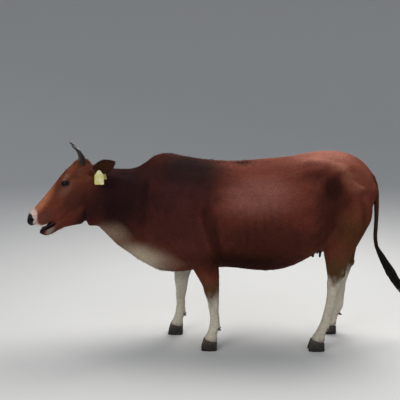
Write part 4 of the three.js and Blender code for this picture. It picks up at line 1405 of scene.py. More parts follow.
@dataclass
class Skin:
    """The one skin that stands for all the nodes of flesh."""

    first_voxel: float = 0.0045
    second_voxel: float = 0.0032
    parting: float = 0.0005
    kept: int = 192_000
    depth: float = 0.16  # how deep the skin lies, as a share of the coat's length
    socket: float = 0.019  # radius of the ball that fills a horn's socket
    muzzle: float = 0.345  # where the fine mesh of the muzzle begins, along the head
    near: float = 0.036  # how far the finest mesh reaches round an eye

    def first_spread(self, straight: Array) -> Array:
        """How wide each place of the body is smoothed: broad on the trunk, little on the face.

        Args:
            straight: Points in the straight body's axes.

        Returns:
            The width at each point, in metres.
        """
        x, y, z = straight.T
        spread = np.full(len(x), 0.020)
        spread += (0.014 - spread) * ramp(-0.34, -0.46, x)  # neck
        spread += (0.0065 - spread) * ramp(-0.60, -0.70, x)  # head
        leg = ramp(0.60, 0.44, z) * ramp(0.025, 0.06, np.abs(y))
        spread += (0.007 - spread) * leg  # legs
        spread += (0.010 - spread) * ramp(0.80, 0.62, z) * ramp(0.60, 0.68, x)  # thighs and udder
        tail = ramp(0.995, 1.01, x) * ramp(0.05, 0.03, np.abs(y))
        teats = ramp(0.60, 0.575, z) * ramp(0.64, 0.66, x) * ramp(0.065, 0.055, np.abs(y))
        return spread + (0.004 - spread) * np.maximum(tail, teats * ramp(0.76, 0.74, x))

    def raise_forms(self, mesh: Mesh, forms: tuple, axes: object, both: bool = True) -> None:
        """Raises and hollows the skin.

        Args:
            mesh: The skin.
            forms: The forms, said in the body's or the head's axes.
            axes: Those axes.
            both: Whether the forms are made on both sides.
        """
        points = read_points(mesh)
        local = axes.straighten(points) if isinstance(axes, BodyAxes) else axes.measure(points)
        if both:
            local[:, 1] = np.abs(local[:, 1])
        lift = np.zeros(len(points))
        for form in forms:
            lift += form.lift(local)
        write_points(mesh, points + read_normals(mesh) * lift[:, None])

    def refine(self, mesh: Mesh, chosen: Array) -> None:
        """Halves the mesh's edges where both ends are chosen."""
        keep = chosen.tolist()
        with edited(mesh) as shell:
            edges = [edge for edge in shell.edges if all(keep[end.index] for end in edge.verts)]
            bmesh.ops.subdivide_edges(shell, edges=edges, cuts=1, use_grid_fill=True)

    def near_eyes(self, points: Array, reach: float) -> Array:
        """Which points of the head's axes lie near an eye."""
        return np.any([np.linalg.norm(points - eye.middle, axis=1) < reach for eye in EYES.values()], axis=0)

    def set_lids(self, mesh: Mesh) -> None:
        """Wraps the skin round each eye: lids over the ball and an almond opening between them.

        Args:
            mesh: The skin.
        """
        points = read_points(mesh)
        local = HEAD.measure(points)
        for eye in EYES.values():
            chosen = np.nonzero(np.linalg.norm(local - eye.middle, axis=1) < self.near + 0.010)[0]
            places, reach = eye.spread(local[chosen])
            outside = eye.outside(places)
            over = ramp(1.6, 0.9, np.linalg.norm(places, axis=1) / 30)
            lid = eye.radius + 2.6 - 1.1 * ramp(3.5, 0.0, outside)  # the lid, thinner at its edge
            crease = bell(outside, 8.5, 2.2) * ramp(-2, 5, places[:, 1])
            lid = lid - 1.5 * crease + 1.6 * bell(outside, 13, 4.5) * ramp(-2, 6, places[:, 1])
            lid = lid - 0.9 * bell(outside, 9, 2.5) * ramp(2, -5, places[:, 1])  # crease below the eye
            goal = np.where(outside < 0, eye.radius - 3.0, lid)
            weight = np.where(outside < 0, 1, ramp(20, 6, outside)) * over
            moved = np.where(reach > goal + 6, reach, reach + (goal - reach) * weight)
            local[chosen] = eye.middle + (local[chosen] - eye.middle) * (moved / reach)[:, None]
        write_points(mesh, HEAD.place(local))

    def fill_sockets(self, skin: Object) -> None:
        """Fills the holes in which the horns stand, so that the skin runs on under them."""
        with edited(skin.data) as whole:
            for side in SIDES.values():
                place = Matrix.Translation(HEAD.place(np.array([6, side * 46, -20]) * MM))
                bmesh.ops.create_icosphere(whole, subdivisions=3, radius=self.socket, matrix=place)

    def join_ears(self, skin: Object) -> None:
        """Adds the ears, which are too thin for the first smoothing."""
        ears = merge_copies(("ear_left", "ear_right"), self.parting, "ears")
        with edited(skin.data) as whole:
            whole.from_mesh(ears.data)
        bpy.data.objects.remove(ears)

    def thin_out(self, skin: Object) -> Mesh:
        """Leaves out faces where the skin is plain, and none at the muzzle and the eyes.

        Args:
            skin: The skin.

        Returns:
            Its new mesh.
        """
        mesh = skin.data
        local = HEAD.measure(read_points(mesh))
        fine = (local[:, 0] > self.muzzle + 0.007) | self.near_eyes(local, self.near - 0.002)
        group = skin.vertex_groups.new(name="plain")
        group.add(np.nonzero(~fine)[0].tolist(), 1.0, "REPLACE")
        thin = skin.modifiers.new("thin", "DECIMATE")
        thin.vertex_group = group.name
        thin.vertex_group_factor = 1.0
        mesh.calc_loop_triangles()
        thin.ratio = self.kept / len(mesh.loop_triangles)
        mesh = settle(skin)
        skin.vertex_groups.clear()
        return mesh

    def sink(self, mesh: Mesh) -> None:
        """Draws the skin in by the depth of the coat that will lie on it."""
        points, normals = read_points(mesh), read_normals(mesh)
        dressing = Dressing(points, normals)
        depth = self.depth * dressing.lengths() * dressing.cover()
        write_points(mesh, points - normals * depth[:, None])

    def unwrap(self, skin: Object) -> None:
        """Unwraps the skin's own shape."""
        skin.data.uv_layers.new(name=BAKE_MAP)
        bpy.ops.object.select_all(action="DESELECT")
        bpy.context.view_layer.objects.active = skin
        skin.select_set(True)
        bpy.ops.object.mode_set(mode="EDIT")
        bpy.ops.mesh.select_all(action="SELECT")
        bpy.ops.uv.smart_project(angle_limit=math.radians(66), island_margin=0.001)
        bpy.ops.object.mode_set(mode="OBJECT")

    def build(self, material: Material) -> "Surface":
        """Makes the skin from the CAD nodes.

        Args:
            material: What the skin is made of.

        Returns:
            The finished skin, ready for its coat.
        """
        body_nodes = tuple(node for node in FLESH if not node.startswith("ear"))
        extra = ("eye_left", "eye_right", *(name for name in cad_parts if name.startswith("dewclaw")))
        skin = merge_copies(body_nodes + extra, self.parting, "skin")
        self.fill_sockets(skin)
        mesh = melt(skin, self.first_voxel)
        relax(mesh, self.first_spread(BODY.straighten(read_points(mesh))), self.first_voxel)
        self.raise_forms(mesh, BODY_FORMS + RIBS + NECK_WRINKLES, BODY)
        self.raise_forms(mesh, sum((leg.forms() for leg in FEET), []), BODY, both=False)
        self.join_ears(skin)
        mesh = melt(skin, self.second_voxel)
        relax(mesh, np.full(len(mesh.vertices), 0.003), self.second_voxel)
        self.raise_forms(mesh, HEAD_FORMS, HEAD)
        local = HEAD.measure(read_points(mesh))
        self.refine(mesh, (local[:, 0] > self.muzzle) | self.near_eyes(local, self.near + 0.008))
        self.raise_forms(mesh, MUZZLE_FORMS, HEAD)
        self.refine(mesh, self.near_eyes(HEAD.measure(read_points(mesh)), self.near))
        mesh = self.thin_out(skin)
        self.sink(mesh)
        self.set_lids(mesh)
        self.unwrap(skin)
        mesh.shade_smooth()
        surface = Surface(mesh)
        surface.write()
        deliver(skin, FLESH, material)
        return surface


def deliver(piece: Object, replaced: tuple = (), material: Material | None = None) -> None:
    """Hands a finished piece over to the frame and logs it.

    Args:
        piece: The finished object.
        replaced: The CAD nodes that it stands for.
        material: Its material, where it has none yet.
    """
    if material:
        piece.data.materials.clear()
        piece.data.materials.append(material)
        piece.data.polygons.foreach_set("material_index", np.zeros(len(piece.data.polygons), np.int32))
    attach(piece, "root")
    if replaced:
        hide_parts(*replaced)
    piece.data.calc_loop_triangles()
    LOG.info("%s: %d triangles", piece.name, len(piece.data.loop_triangles))


@dataclass
class Surface:
    """The finished skin in arrays, as the coat is planned from it."""

    mesh: Mesh

    def __post_init__(self) -> None:
        """Reads the skin and works out what grows on it."""
        self.points = read_points(self.mesh)
        self.normals = read_normals(self.mesh)
        self.dressing = Dressing(self.points, self.normals)
        self.colours = self.dressing.colours()
        self.lies = self.dressing.lies()
        corners = read_all(self.mesh.loops, "vertex_index", 1, np.int32)
        self.places = np.zeros((len(self.points), 3))
        self.places[corners, :2] = read_all(self.mesh.uv_layers[BAKE_MAP].data, "uv", 2)
        self.mesh.calc_loop_triangles()
        threes = read_all(self.mesh.loop_triangles, "vertices", 3, np.int32)
        first, second, third = (self.points[threes[:, i]] for i in range(3))
        area = np.linalg.norm(np.cross(second - first, third - first), axis=1) / 6
        self.areas = np.zeros(len(self.points))
        for column in threes.T:
            self.areas += np.bincount(column, area, len(self.points))

    def write(self) -> None:
        """Stores the colours, painted shade and highlight included, the lie and the coat's measures on the
        skin.
        """
        dressing = self.dressing
        for name, values in (("marking", self.colours), ("lie", self.lies), ("bare", dressing.bareness()),
                             ("coat_length", dressing.lengths()), ("up", self.normals)):
            write_attribute(self.mesh, name, values)

    def pick(self, weight: Array, count: int, dice: np.random.Generator) -> Array:
        """Picks places of the skin at random, more where the weight is higher."""
        chance = np.clip(weight, 0, None) * self.areas
        return dice.choice(len(chance), count, p=chance / chance.sum())


@dataclass(frozen=True)
class Tuft:
    """One short tuft: a flat closed blade, one unit long, that rises and bends back."""

    def build(self) -> Object:
        """Makes the pattern that the coat repeats, kept out of the render."""
        points = np.array([
            (0, -0.04, -0.20), (-0.5, 0.30, 0.02), (0.5, 0.30, 0.02), (0, 0.34, 0.18), (0, 1, 0.02)])
        faces = [(0, 2, 1), (0, 3, 2), (0, 1, 3), (1, 2, 4), (2, 3, 4), (3, 1, 4)]
        mesh = mesh_from("tuft", points, faces)
        mesh.shade_flat()
        write_attribute(mesh, "blade", points * [1, 1, 0] + [0.5, 0, 0])
        made = new_object("tuft", mesh)
        made.hide_render = True
        return made


class Region(Enum):
    """The parts of the coat, each with its number of tufts, their width, lift and looseness."""

    HEAD = (32_000, 1.45, 0.07, 0.16)
    EARS = (10_000, 1.5, 0.07, 0.18)
    NECK = (27_500, 2.6, 0.08, 0.18)
    SHOULDER = (27_500, 2.7, 0.07, 0.17)
    BARREL_LEFT = (28_000, 2.8, 0.06, 0.16)
    BARREL_RIGHT = (27_900, 2.8, 0.06, 0.16)
    RUMP = (31_500, 2.7, 0.06, 0.16)
    FORELEGS = (14_000, 1.9, 0.08, 0.15)
    HINDLEGS = (16_000, 2.0, 0.08, 0.15)
    TAIL = (4_200, 2.2, 0.12, 0.18)


@dataclass
class Coat:
    """The short coat over the whole skin, in tufts."""

    surface: Surface
    material: Material

    def regions(self) -> dict:
        """Which region each place of the skin belongs to."""
        dressing = self.surface.dressing
        x, y, _ = dressing.straight.T
        owner = np.full(len(x), Region.SHOULDER.name, "U16")
        on_leg = dressing.on_leg > 0.5
        for region, own in (
                (Region.NECK, x < -0.10), (Region.BARREL_LEFT, (x > 0.22) & (y < 0)),
                (Region.BARREL_RIGHT, (x > 0.22) & (y >= 0)), (Region.RUMP, x > 0.62),
                (Region.HINDLEGS, on_leg & (x > 0.4)), (Region.FORELEGS, on_leg & (x <= 0.4)),
                (Region.TAIL, dressing.on_tail > 0.5), (Region.HEAD, dressing.on_head > 0.5),
                (Region.EARS, dressing.on_ear > 0.4)):
            owner[own] = region.name
        return {region: owner == region.name for region in Region}

    def build(self) -> None:
        """Grows every region of the coat as a piece of its own."""
        tree = tuft_tree()
        tuft = Tuft().build()
        cover = self.surface.dressing.cover()
        for seed, (region, own) in enumerate(self.regions().items()):
            count, width, lift, loose = region.value
            base = self.surface.mesh.copy()
            write_attribute(base, "cover", cover * own)
            piece = new_object("coat_" + region.name.lower(), base)
            density = count / float((cover * own * self.surface.areas).sum())
            mesh = grow(piece, tree, {
                "Tuft": tuft, "Density": density, "Width": width * MM, "Lift": lift, "Loose": loose,
                "Seed": seed * 40 + 7, "Material": self.material})
            drop_attributes(mesh, "cover", "coat_length", "root_place", "bare", "up")
            deliver(piece, (), self.material)
        bpy.data.objects.remove(tuft)


@dataclass(frozen=True)
class LockStyle:
    """How one kind of longer lock grows (millimetres)."""

    count: int
    length: float
    girth: float
    lift: float = 0.3
    droop: float = 0.0
    loose: float = 0.15
    steps: int = 5
    lay: float = 0.2
    shade: float = 1.0


@dataclass
class Locks:
    """Longer hairs, each grown along a line of its own, gathered into one piece."""

    surface: Surface
    dice: np.random.Generator
    lines: list = field(default_factory=list)
    girths: list = field(default_factory=list)
    roots: list = field(default_factory=list)
    shades: list = field(default_factory=list)

    def comb(self, weight: Array, style: LockStyle, pull: tuple = (0, 0, 0)) -> None:
        """Grows one kind of lock on part of the skin.

        Args:
            weight: Where on the skin it grows.
            style: How it grows.
            pull: A further direction that draws it.
        """
        roots = self.surface.pick(weight, style.count, self.dice)
        normals, lies = self.surface.normals[roots], self.surface.lies[roots]
        heading = lies + normals * style.lift + np.array(pull) + self.dice.normal(0, style.loose, lies.shape)
        step = style.length * MM * self.dice.uniform(0.6, 1.15, (len(roots), 1)) / (style.steps - 1)
        line = [self.surface.points[roots] - normals * 0.0015]
        for _ in range(style.steps - 1):
            heading = unit(heading)
            line.append(line[-1] + heading * step)
            heading = heading + lies * style.lay - np.array([0, 0, style.droop])
            heading = heading + self.dice.normal(0, 0.05, lies.shape)
        self.take(np.stack(line, 1), style.girth, roots, style.shade)

    def take(self, lines: Array, girth: float, roots: Array, shade: float) -> None:
        """Adds finished lines, thinned towards their tips.

        Args:
            lines: The lines, as line, point, coordinates.
            girth: Their radius in millimetres.
            roots: The vertices of the skin whose colour they take.
            shade: How bright they are.
        """
        run = np.linspace(0, 1, lines.shape[1])
        thin = np.interp(run, [0, 0.25, 0.7, 1], [0.85, 1.0, 0.62, 0.10]) * girth * MM
        spread = self.dice.uniform(0.75, 1.25, (len(lines), 1))
        for line, girths, root in zip(lines, thin * spread, roots):
            self.lines.append(line)
            self.girths.append(girths)
            self.roots.append(root)
            self.shades.append(shade * self.dice.uniform(0.8, 1.2))

    def build(self, name: str, sides: int, material: Material, colour: int | None = None) -> Object:
        """Turns the gathered lines into one piece.

        Args:
            name: The piece's name.
            sides: How many sides a lock has.
            material: What it is made of.
            colour: Its colour, where it isn't that of the skin.

        Returns:
            The piece, not yet handed over.
        """
        counts = [len(line) for line in self.lines]
        starts = np.concatenate([[0], np.cumsum(counts)])
        edges = [(i, i + 1) for start, count in zip(starts, counts) for i in range(start, start + count - 1)]
        owner = np.repeat(np.arange(len(counts)), counts)
        mesh = bpy.data.meshes.new(name)
        points = np.concatenate(self.lines)
        mesh.from_pydata([tuple(point) for point in points], edges, [])
        roots = np.array(self.roots)[owner]
        run = np.concatenate([np.linspace(0, 1, count) for count in counts])
        ahead = unit(np.concatenate([np.gradient(line, axis=0) for line in self.lines]))
        colours = self.surface.colours[roots]
        if colour is not None:
            colours = np.tile([*linear(colour), 1.0], (len(roots), 1))
        for label, values in (
                ("girth", np.concatenate(self.girths)), ("root_place", self.surface.places[roots]),
                ("marking", colours), ("lie", ahead), ("tint", np.array(self.shades)[owner]),
                ("blade", np.column_stack([0 * run, run, 0 * run]))):
            write_attribute(mesh, label, values)
        piece = new_object(name, mesh)
        mesh = grow(piece, bpy.data.node_groups["round locks"], {"Sides": sides, "Material": material})
        drop_attributes(mesh, "girth", "round", "root_place")
        mesh.shade_smooth()
        return piece


@dataclass
class LongHair:
    """The places where the coat is longer than its tufts, and the switch of the tail."""

    surface: Surface
    material: Material
    switch_material: Material
    switch_path: tuple = (
        (1036, 9, 612), (1044, 10, 580), (1060, 11, 545), (1094, 12, 489), (1134, 13, 425), (1178, 14, 355),
        (1212, 15, 300), (1238, 15, 256))
    switch_reach: tuple = ((0, 11), (0.14, 14), (0.3, 19), (0.52, 26), (0.75, 22), (0.92, 12), (1, 4))
    switch_locks: int = 300
    switch_steps: int = 15

    def build(self) -> None:
        """Grows the locks of the head and body, then the switch."""
        lock_tree()
        self.grow_head()
        self.grow_body()
        self.grow_switch()

    def grow_head(self) -> None:
        """Forelock, ear hair, chin whiskers and lashes."""
        skin = self.surface.dressing
        along, side, above = skin.local.T / MM
        free = skin.on_head * (1 - skin.on_ear) * (1 - skin.bareness())
        head = Locks(self.surface, np.random.default_rng(21))
        poll = ramp(56, 10, along) * ramp(52, 26, np.abs(side)) * ramp(-60, -20, above) * free
        head.comb(poll, LockStyle(520, 26, 0.85, 0.35, 0.05, 0.22))
        brow = bell(along, 104, 16) * ramp(40, 12, np.abs(side)) * ramp(-10, 0, above) * free
        head.comb(brow, LockStyle(110, 14, 0.6, 0.2, 0, 0.3))
        fringe, tips = np.zeros(len(along)), np.zeros(len(along))
        for name, ear in EARS.items():
            share, across, _ = ear.measure(self.surface.points).T
            edge = ramp(0.024, 0.034, np.abs(across) + 0.02 * ramp(0.8, 1, share))
            fringe = np.maximum(fringe, skin.ears[name] * edge * ramp(0.12, 0.3, share))
            tips = np.maximum(tips, skin.ears[name] * ramp(0.86, 0.98, share))
        head.comb(fringe, LockStyle(520, 12, 0.42, 0.25, 0, 0.2))
        head.comb(skin.hollow * (1 - fringe), LockStyle(420, 20, 0.5, 0.22, 0, 0.2, lay=0.2, shade=1.7))
        head.comb(tips, LockStyle(50, 11, 0.45, 0.15, 0.05, 0.15))
        chin = ramp(350, 390, along) * ramp(-92, -104, above) * (1 - skin.lining) * skin.on_head
        head.comb(chin, LockStyle(46, 22, 0.22, 0.9, 0.08, 0.3, shade=0.5), (0, 0, -0.4))
        lip = ramp(350, 380, along) * ramp(-20, -40, above) * (1 - skin.lining) * (1 - chin) * skin.on_head
        head.comb(lip, LockStyle(40, 17, 0.2, 1.0, 0.05, 0.3, shade=0.5))
        piece = head.build("locks_head", 3, self.material)
        deliver(piece)
        lashes = Locks(self.surface, np.random.default_rng(22))
        self.add_lashes(lashes)
        deliver(lashes.build("lashes", 4, self.material, LID))

    def add_lashes(self, lashes: Locks) -> None:
        """Sets the upper and lower lashes and the moist edges of the lids.

        Args:
            lashes: The locks that they are added to.
        """
        for eye in EYES.values():
            rim = eye.rim(97)
            near = int(np.argmin(np.linalg.norm(self.surface.dressing.local - eye.middle, axis=1)))
            edge = eye.place(rim * 1.03, eye.radius + 0.9)
            closed = np.vstack([edge, edge[1:3]])
            lashes.lines.append(closed)
            lashes.girths.append(np.full(len(closed), 1.0 * MM))
            lashes.roots.append(near)
            lashes.shades.append(0.9)
            forward, upward, outward = eye.axes @ HEAD.matrix
            for first, last, count, length, lift in ((5, 45, 44, 15, 0.55), (54, 92, 22, 8, -0.5)):
                for place in np.linspace(first, last, count).astype(int):
                    root = eye.place(rim[place:place + 1] * 1.05, eye.radius + 0.4)[0]
                    heading = outward + lift * upward + 0.25 * (0.3 - rim[place, 0] / 40) * -forward
                    heading += lashes.dice.normal(0, 0.08, 3)
                    line = [root]
                    for _ in range(5):
                        heading = unit(heading)
                        line.append(line[-1] + heading * length * MM / 5)
                        heading += upward * 0.10 * np.sign(lift)
                    lashes.take(np.array([line]), 0.32, np.array([near]), 0.8)

    def grow_body(self) -> None:
        """The fringe of brisket and belly, the crest, the whorl, the coronets and the fetlocks."""
        skin = self.surface.dressing
        x, y, z = skin.straight.T
        below = ramp(-0.35, -0.75, self.surface.normals[:, 2])
        body = Locks(self.surface, np.random.default_rng(23))
        trunk = (1 - skin.on_head) * (1 - skin.on_leg) * (1 - skin.on_tail)
        body.comb(below * trunk * (x > -0.45) * (x < 0.62) * ramp(0.14, 0.05, np.abs(y)),
                  LockStyle(700, 24, 0.8, 0.25, 0.06, 0.2))
        body.comb(ramp(0.0, -0.5, self.surface.normals[:, 0]) * trunk * ramp(0.62, 0.52, z) * (x < -0.2)
                  * ramp(0.09, 0.03, np.abs(y)), LockStyle(260, 24, 0.8, 0.3, 0.12, 0.2))
        crest = ramp(0.6, 0.9, self.surface.normals[:, 2]) * trunk * ramp(0.25, 0.05, x)
        body.comb(crest * ramp(0.06, 0.02, np.abs(y)), LockStyle(620, 24, 0.85, 0.22, 0, 0.2))
        fold = bell(z, 0.56, 0.05) * bell(x, 0.66, 0.07) * (np.abs(y) > 0.15) * trunk
        body.comb(fold * below, LockStyle(120, 20, 0.8, 0.2, 0.08, 0.2))
        whorl = bell(x, 0.25, 0.028) * bell(y, -0.05, 0.035) * (z > 0.95)
        body.comb(whorl, LockStyle(60, 20, 0.9, 0.5, 0, 0.3, shade=0.55))
        behind = ramp(0.1, 0.7, self.surface.normals[:, 0])
        body.comb(skin.on_leg * behind * bell(z, 0.125, 0.03), LockStyle(260, 19, 0.7, 0.3, 0.15, 0.2))
        body.comb(skin.on_leg * behind * ramp(0.16, 0.3, z), LockStyle(360, 15, 0.6, 0.22, 0.05, 0.2))
        body.comb(skin.on_leg * bell(z, 0.064, 0.007), LockStyle(620, 14, 0.6, 0.15, 0.3, 0.2))
        deliver(body.build("locks_body", 3, self.material))

    def grow_switch(self) -> None:
        """The long hair of the tail, which hangs together and spreads in the middle."""
        dice = np.random.default_rng(24)
        switch = Locks(self.surface, dice)
        path = np.array(self.switch_path, float) * MM - [BODY.shift, 0, 0]
        line, steps = curve_through(path, 60), self.switch_steps
        reach_at, reach = np.array(self.switch_reach).T
        root = int(np.argmin(np.linalg.norm(self.surface.points - path[0], axis=1)))
        for _ in range(self.switch_locks):
            start, end = dice.uniform(0, 0.34), dice.uniform(0.66, 1.0)
            run = np.linspace(start, end, steps)
            at = run * (len(line) - 1)
            places = np.stack([np.interp(at, np.arange(len(line)), column) for column in line.T], 1)
            ahead = unit(np.gradient(places, axis=0))
            across = np.cross(ahead, [0, 1, 0])
            turn, share = dice.uniform(0, 2 * np.pi), math.sqrt(dice.uniform(0.02, 1))
            sway = turn + 0.5 * np.sin(run * dice.uniform(3, 7) + dice.uniform(0, 6))
            width = np.interp(run, reach_at, reach) * MM * share
            width = width * (0.55 + 0.45 * ramp(start, start + 0.2, run))
            offset = across * np.cos(sway)[:, None] + np.array([0, 1, 0]) * np.sin(sway)[:, None]
            wave = dice.normal(0, 0.0012, (steps, 3)) * ramp(0, 0.5, run - start)[:, None]
            hair = (places + offset * width[:, None] + wave)[None]
            switch.take(hair, dice.uniform(1.5, 2.6), np.array([root]), dice.uniform(0.7, 1.3))
        piece = switch.build("switch", 5, self.switch_material, SWITCH_DARK)
        deliver(piece, ("tail_switch",))


def loft(name: str, rings: Array, run: Array) -> Mesh:
    """A closed shell through rings of points, with the run of each ring stored on it.

    Args:
        name: The mesh's name.
        rings: The rings, as ring, place round it, coordinates; the ends may be shrunk to points.
        run: One number for each ring.

    Returns:
        The mesh.
    """
    count, sides, _ = rings.shape
    faces = []
    for i in range(count - 1):
        for j in range(sides):
            after = (j + 1) % sides
            faces.append((i * sides + j, i * sides + after, (i + 1) * sides + after, (i + 1) * sides + j))
    faces += [tuple(range(sides)), tuple(range((count - 1) * sides, count * sides))]
    mesh = mesh_from(name, rings.reshape(-1, 3), faces)
    write_attribute(mesh, "run", np.repeat(run, sides))
    return mesh


@dataclass
class Eyes:
    """The two eyeballs, with a dark iris and a wide level pupil under a raised cornea."""

    material: Material
    radius: float = 20.2
    cornea: float = 1.1
    rings: int = 44
    sides: int = 64
    iris: float = math.radians(43)

    def build(self) -> None:
        """Builds both eyes."""
        for name, eye in EYES.items():
            polar = np.linspace(0.004, np.pi - 0.004, self.rings)
            turn = turns(self.sides)
            reach = self.radius + self.cornea * ramp(math.radians(44), math.radians(20), polar)
            across = np.sin(polar)[:, None] * np.cos(turn)
            up = np.sin(polar)[:, None] * np.sin(turn)
            out = np.cos(polar)[:, None] + 0 * turn
            local = np.stack([across, up, out], -1) * reach[:, None, None] * MM
            shell = HEAD.place(eye.middle + local.reshape(-1, 3) @ eye.axes)
            mesh = loft("eye_ball_" + name, shell.reshape(self.rings, self.sides, 3), polar)
            colours = self.paint(across.ravel(), up.ravel(), np.repeat(polar, self.sides))
            write_attribute(mesh, "marking", colours)
            deliver(new_object("eye_ball_" + name, mesh), ("eye_" + name,), self.material)

    def paint(self, across: Array, up: Array, polar: Array) -> Array:
        """The colours of white, iris and pupil.

        Args:
            across: How far each point lies along the eye, as a share of its radius.
            up: How far it lies up.
            polar: Its angle from the middle of the pupil.

        Returns:
            The colours as linear red, green, blue and one.
        """
        turn = np.arctan2(up, across)
        rays = 0.5 + 0.5 * np.sin(turn * 37 + 3 * np.sin(turn * 11))
        made = np.tile(linear(EYE_WHITE), (len(polar), 1))
        edge = ramp(self.iris - 0.16, self.iris - 0.02, polar) * ramp(self.iris + 0.08, self.iris, polar)
        pupil = np.hypot(across / 0.42, up / 0.24)
        for colour, share in (
                (linear(IRIS) * (0.6 + 0.7 * rays)[:, None], ramp(self.iris + 0.03, self.iris - 0.03, polar)),
                (linear(IRIS_EDGE), edge), (linear(PUPIL), ramp(1.08, 0.94, pupil))):
            made += (colour - made) * share[:, None]
        return np.column_stack([made, np.ones(len(made))])


@dataclass
class Tongue:
    """The tongue, which lies on the lower jaw and shows dark between the lips."""

    material: Material
    path: tuple = ((352, 0, -116), (376, 0, -102), (404, 0, -90), (432, 0, -84), (450, 0, -80))
    width: tuple = (30, 34, 33, 26, 10)
    depth: tuple = (20, 17, 13, 10, 5)
    rings: int = 40
    sides: int = 32

    def build(self) -> None:
        """Builds the tongue."""
        line = curve_through(self.path, self.rings)
        run = np.linspace(0, 1, self.rings)
        stations = np.linspace(0, 1, len(self.width))
        round_end = np.sqrt(np.clip(1 - np.clip((run - 0.9) / 0.1, 0, 1) ** 2, 0.001, 1))
        wide, deep = (np.interp(run, stations, sizes) * round_end for sizes in (self.width, self.depth))
        turn = turns(self.sides)
        furrow = 1 - 0.10 * bell(turn, np.pi / 2, 0.25)
        shell = np.repeat(line[:, None], self.sides, 1)
        shell[:, :, 1] += wide[:, None] * np.cos(turn)
        shell[:, :, 2] += deep[:, None] * np.sin(turn) * furrow
        shell = HEAD.place(shell.reshape(-1, 3) * MM).reshape(self.rings, self.sides, 3)
        deliver(new_object("tongue", loft("tongue", shell, run)), (), self.material)


@dataclass
class Horns:
    """The short horns that curve out, forward and up, with rings at their foot."""

    material: Material
    path: tuple = (
        (14, 40, -24), (-8, 62, -12), (-26, 90, 10), (-38, 112, 42), (-42, 122, 72), (-40, 123, 93))
    foot: float = 18.0
    tip: float = 4.5
    rings: int = 90
    sides: int = 28

    def build(self) -> None:
        """Builds both horns."""
        for name, side in SIDES.items():
            line = HEAD.place(curve_through(np.array(self.path) * [1, side, 1], self.rings) * MM)
            run = np.linspace(0, 1, self.rings)
            radius = self.foot + (self.tip - self.foot) * run ** 1.25
            radius += 0.7 * np.sin(run * 95) * ramp(0.55, 0.12, run) * (run > 0.08)
            radius *= np.sqrt(np.clip(1 - (np.clip((run - 0.955) / 0.045, 0, 1)) ** 2, 0.0004, 1))
            ahead = unit(np.gradient(line, axis=0))
            across = unit(np.cross(ahead, HEAD.side))
            beside = np.cross(ahead, across)
            turn = turns(self.sides)
            flutes = 1 + 0.012 * np.sin(turn * 7 + 2 * side)
            ring = across[:, None] * np.cos(turn)[:, None] + beside[:, None] * np.sin(turn)[:, None] * 0.94
            shell = line[:, None] + ring * (radius * MM)[:, None, None] * flutes[:, None]
            piece = new_object("horn_shell_" + name, loft("horn", shell, run))
            deliver(piece, ("horn_" + name,), self.material)


@dataclass
class Hoofs:
    """The claws and dewclaws, with growth rings that follow the coronet."""

    material: Material
    voxel: float = 0.0021
    smoothing: float = 0.0019
    ring_height: float = 0.0075
    ring_depth: float = 0.00035

    def build(self) -> None:
        """Builds all the claws as one piece."""
        nodes = tuple(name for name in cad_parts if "claw" in name)
        thing = merge_copies(nodes, 0.0, "hoofs")
        mesh = melt(thing, self.voxel)
        relax(mesh, np.full(len(mesh.vertices), self.smoothing), self.voxel)
        points, normals = read_points(mesh), read_normals(mesh)
        height = points[:, 2]
        tilt = height + 0.0012 * mottle(points, 0.03, 31)
        walls = ramp(0.8, 0.4, np.abs(normals[:, 2])) * ramp(0.006, 0.014, height)
        points += normals * (self.ring_depth * np.sin(tilt * 2 * np.pi / self.ring_height) * walls)[:, None]
        points[:, 2] = np.where(points[:, 2] < 0.0016, 0, points[:, 2])
        write_points(mesh, points)
        write_attribute(mesh, "run", 1 - height / 0.070)
        mesh.shade_smooth()
        deliver(thing, nodes, self.material)


@dataclass
class Tags:
    """The ear tags: bevelled copies of their plates."""

    material: Material
    bevel: float = 0.0004

    def build(self) -> None:
        """Builds the four plates."""
        for node in [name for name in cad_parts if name.startswith("tag")]:
            piece = merge_copies((node,), 0.0, node.replace("tag", "plate"))
            bevel = piece.modifiers.new("bevel", "BEVEL")
            bevel.width = self.bevel
            bevel.segments = 2
            bevel.limit_method = "ANGLE"
            mesh = settle(piece)
            mesh.shade_flat()
            deliver(piece, (node,), self.material)


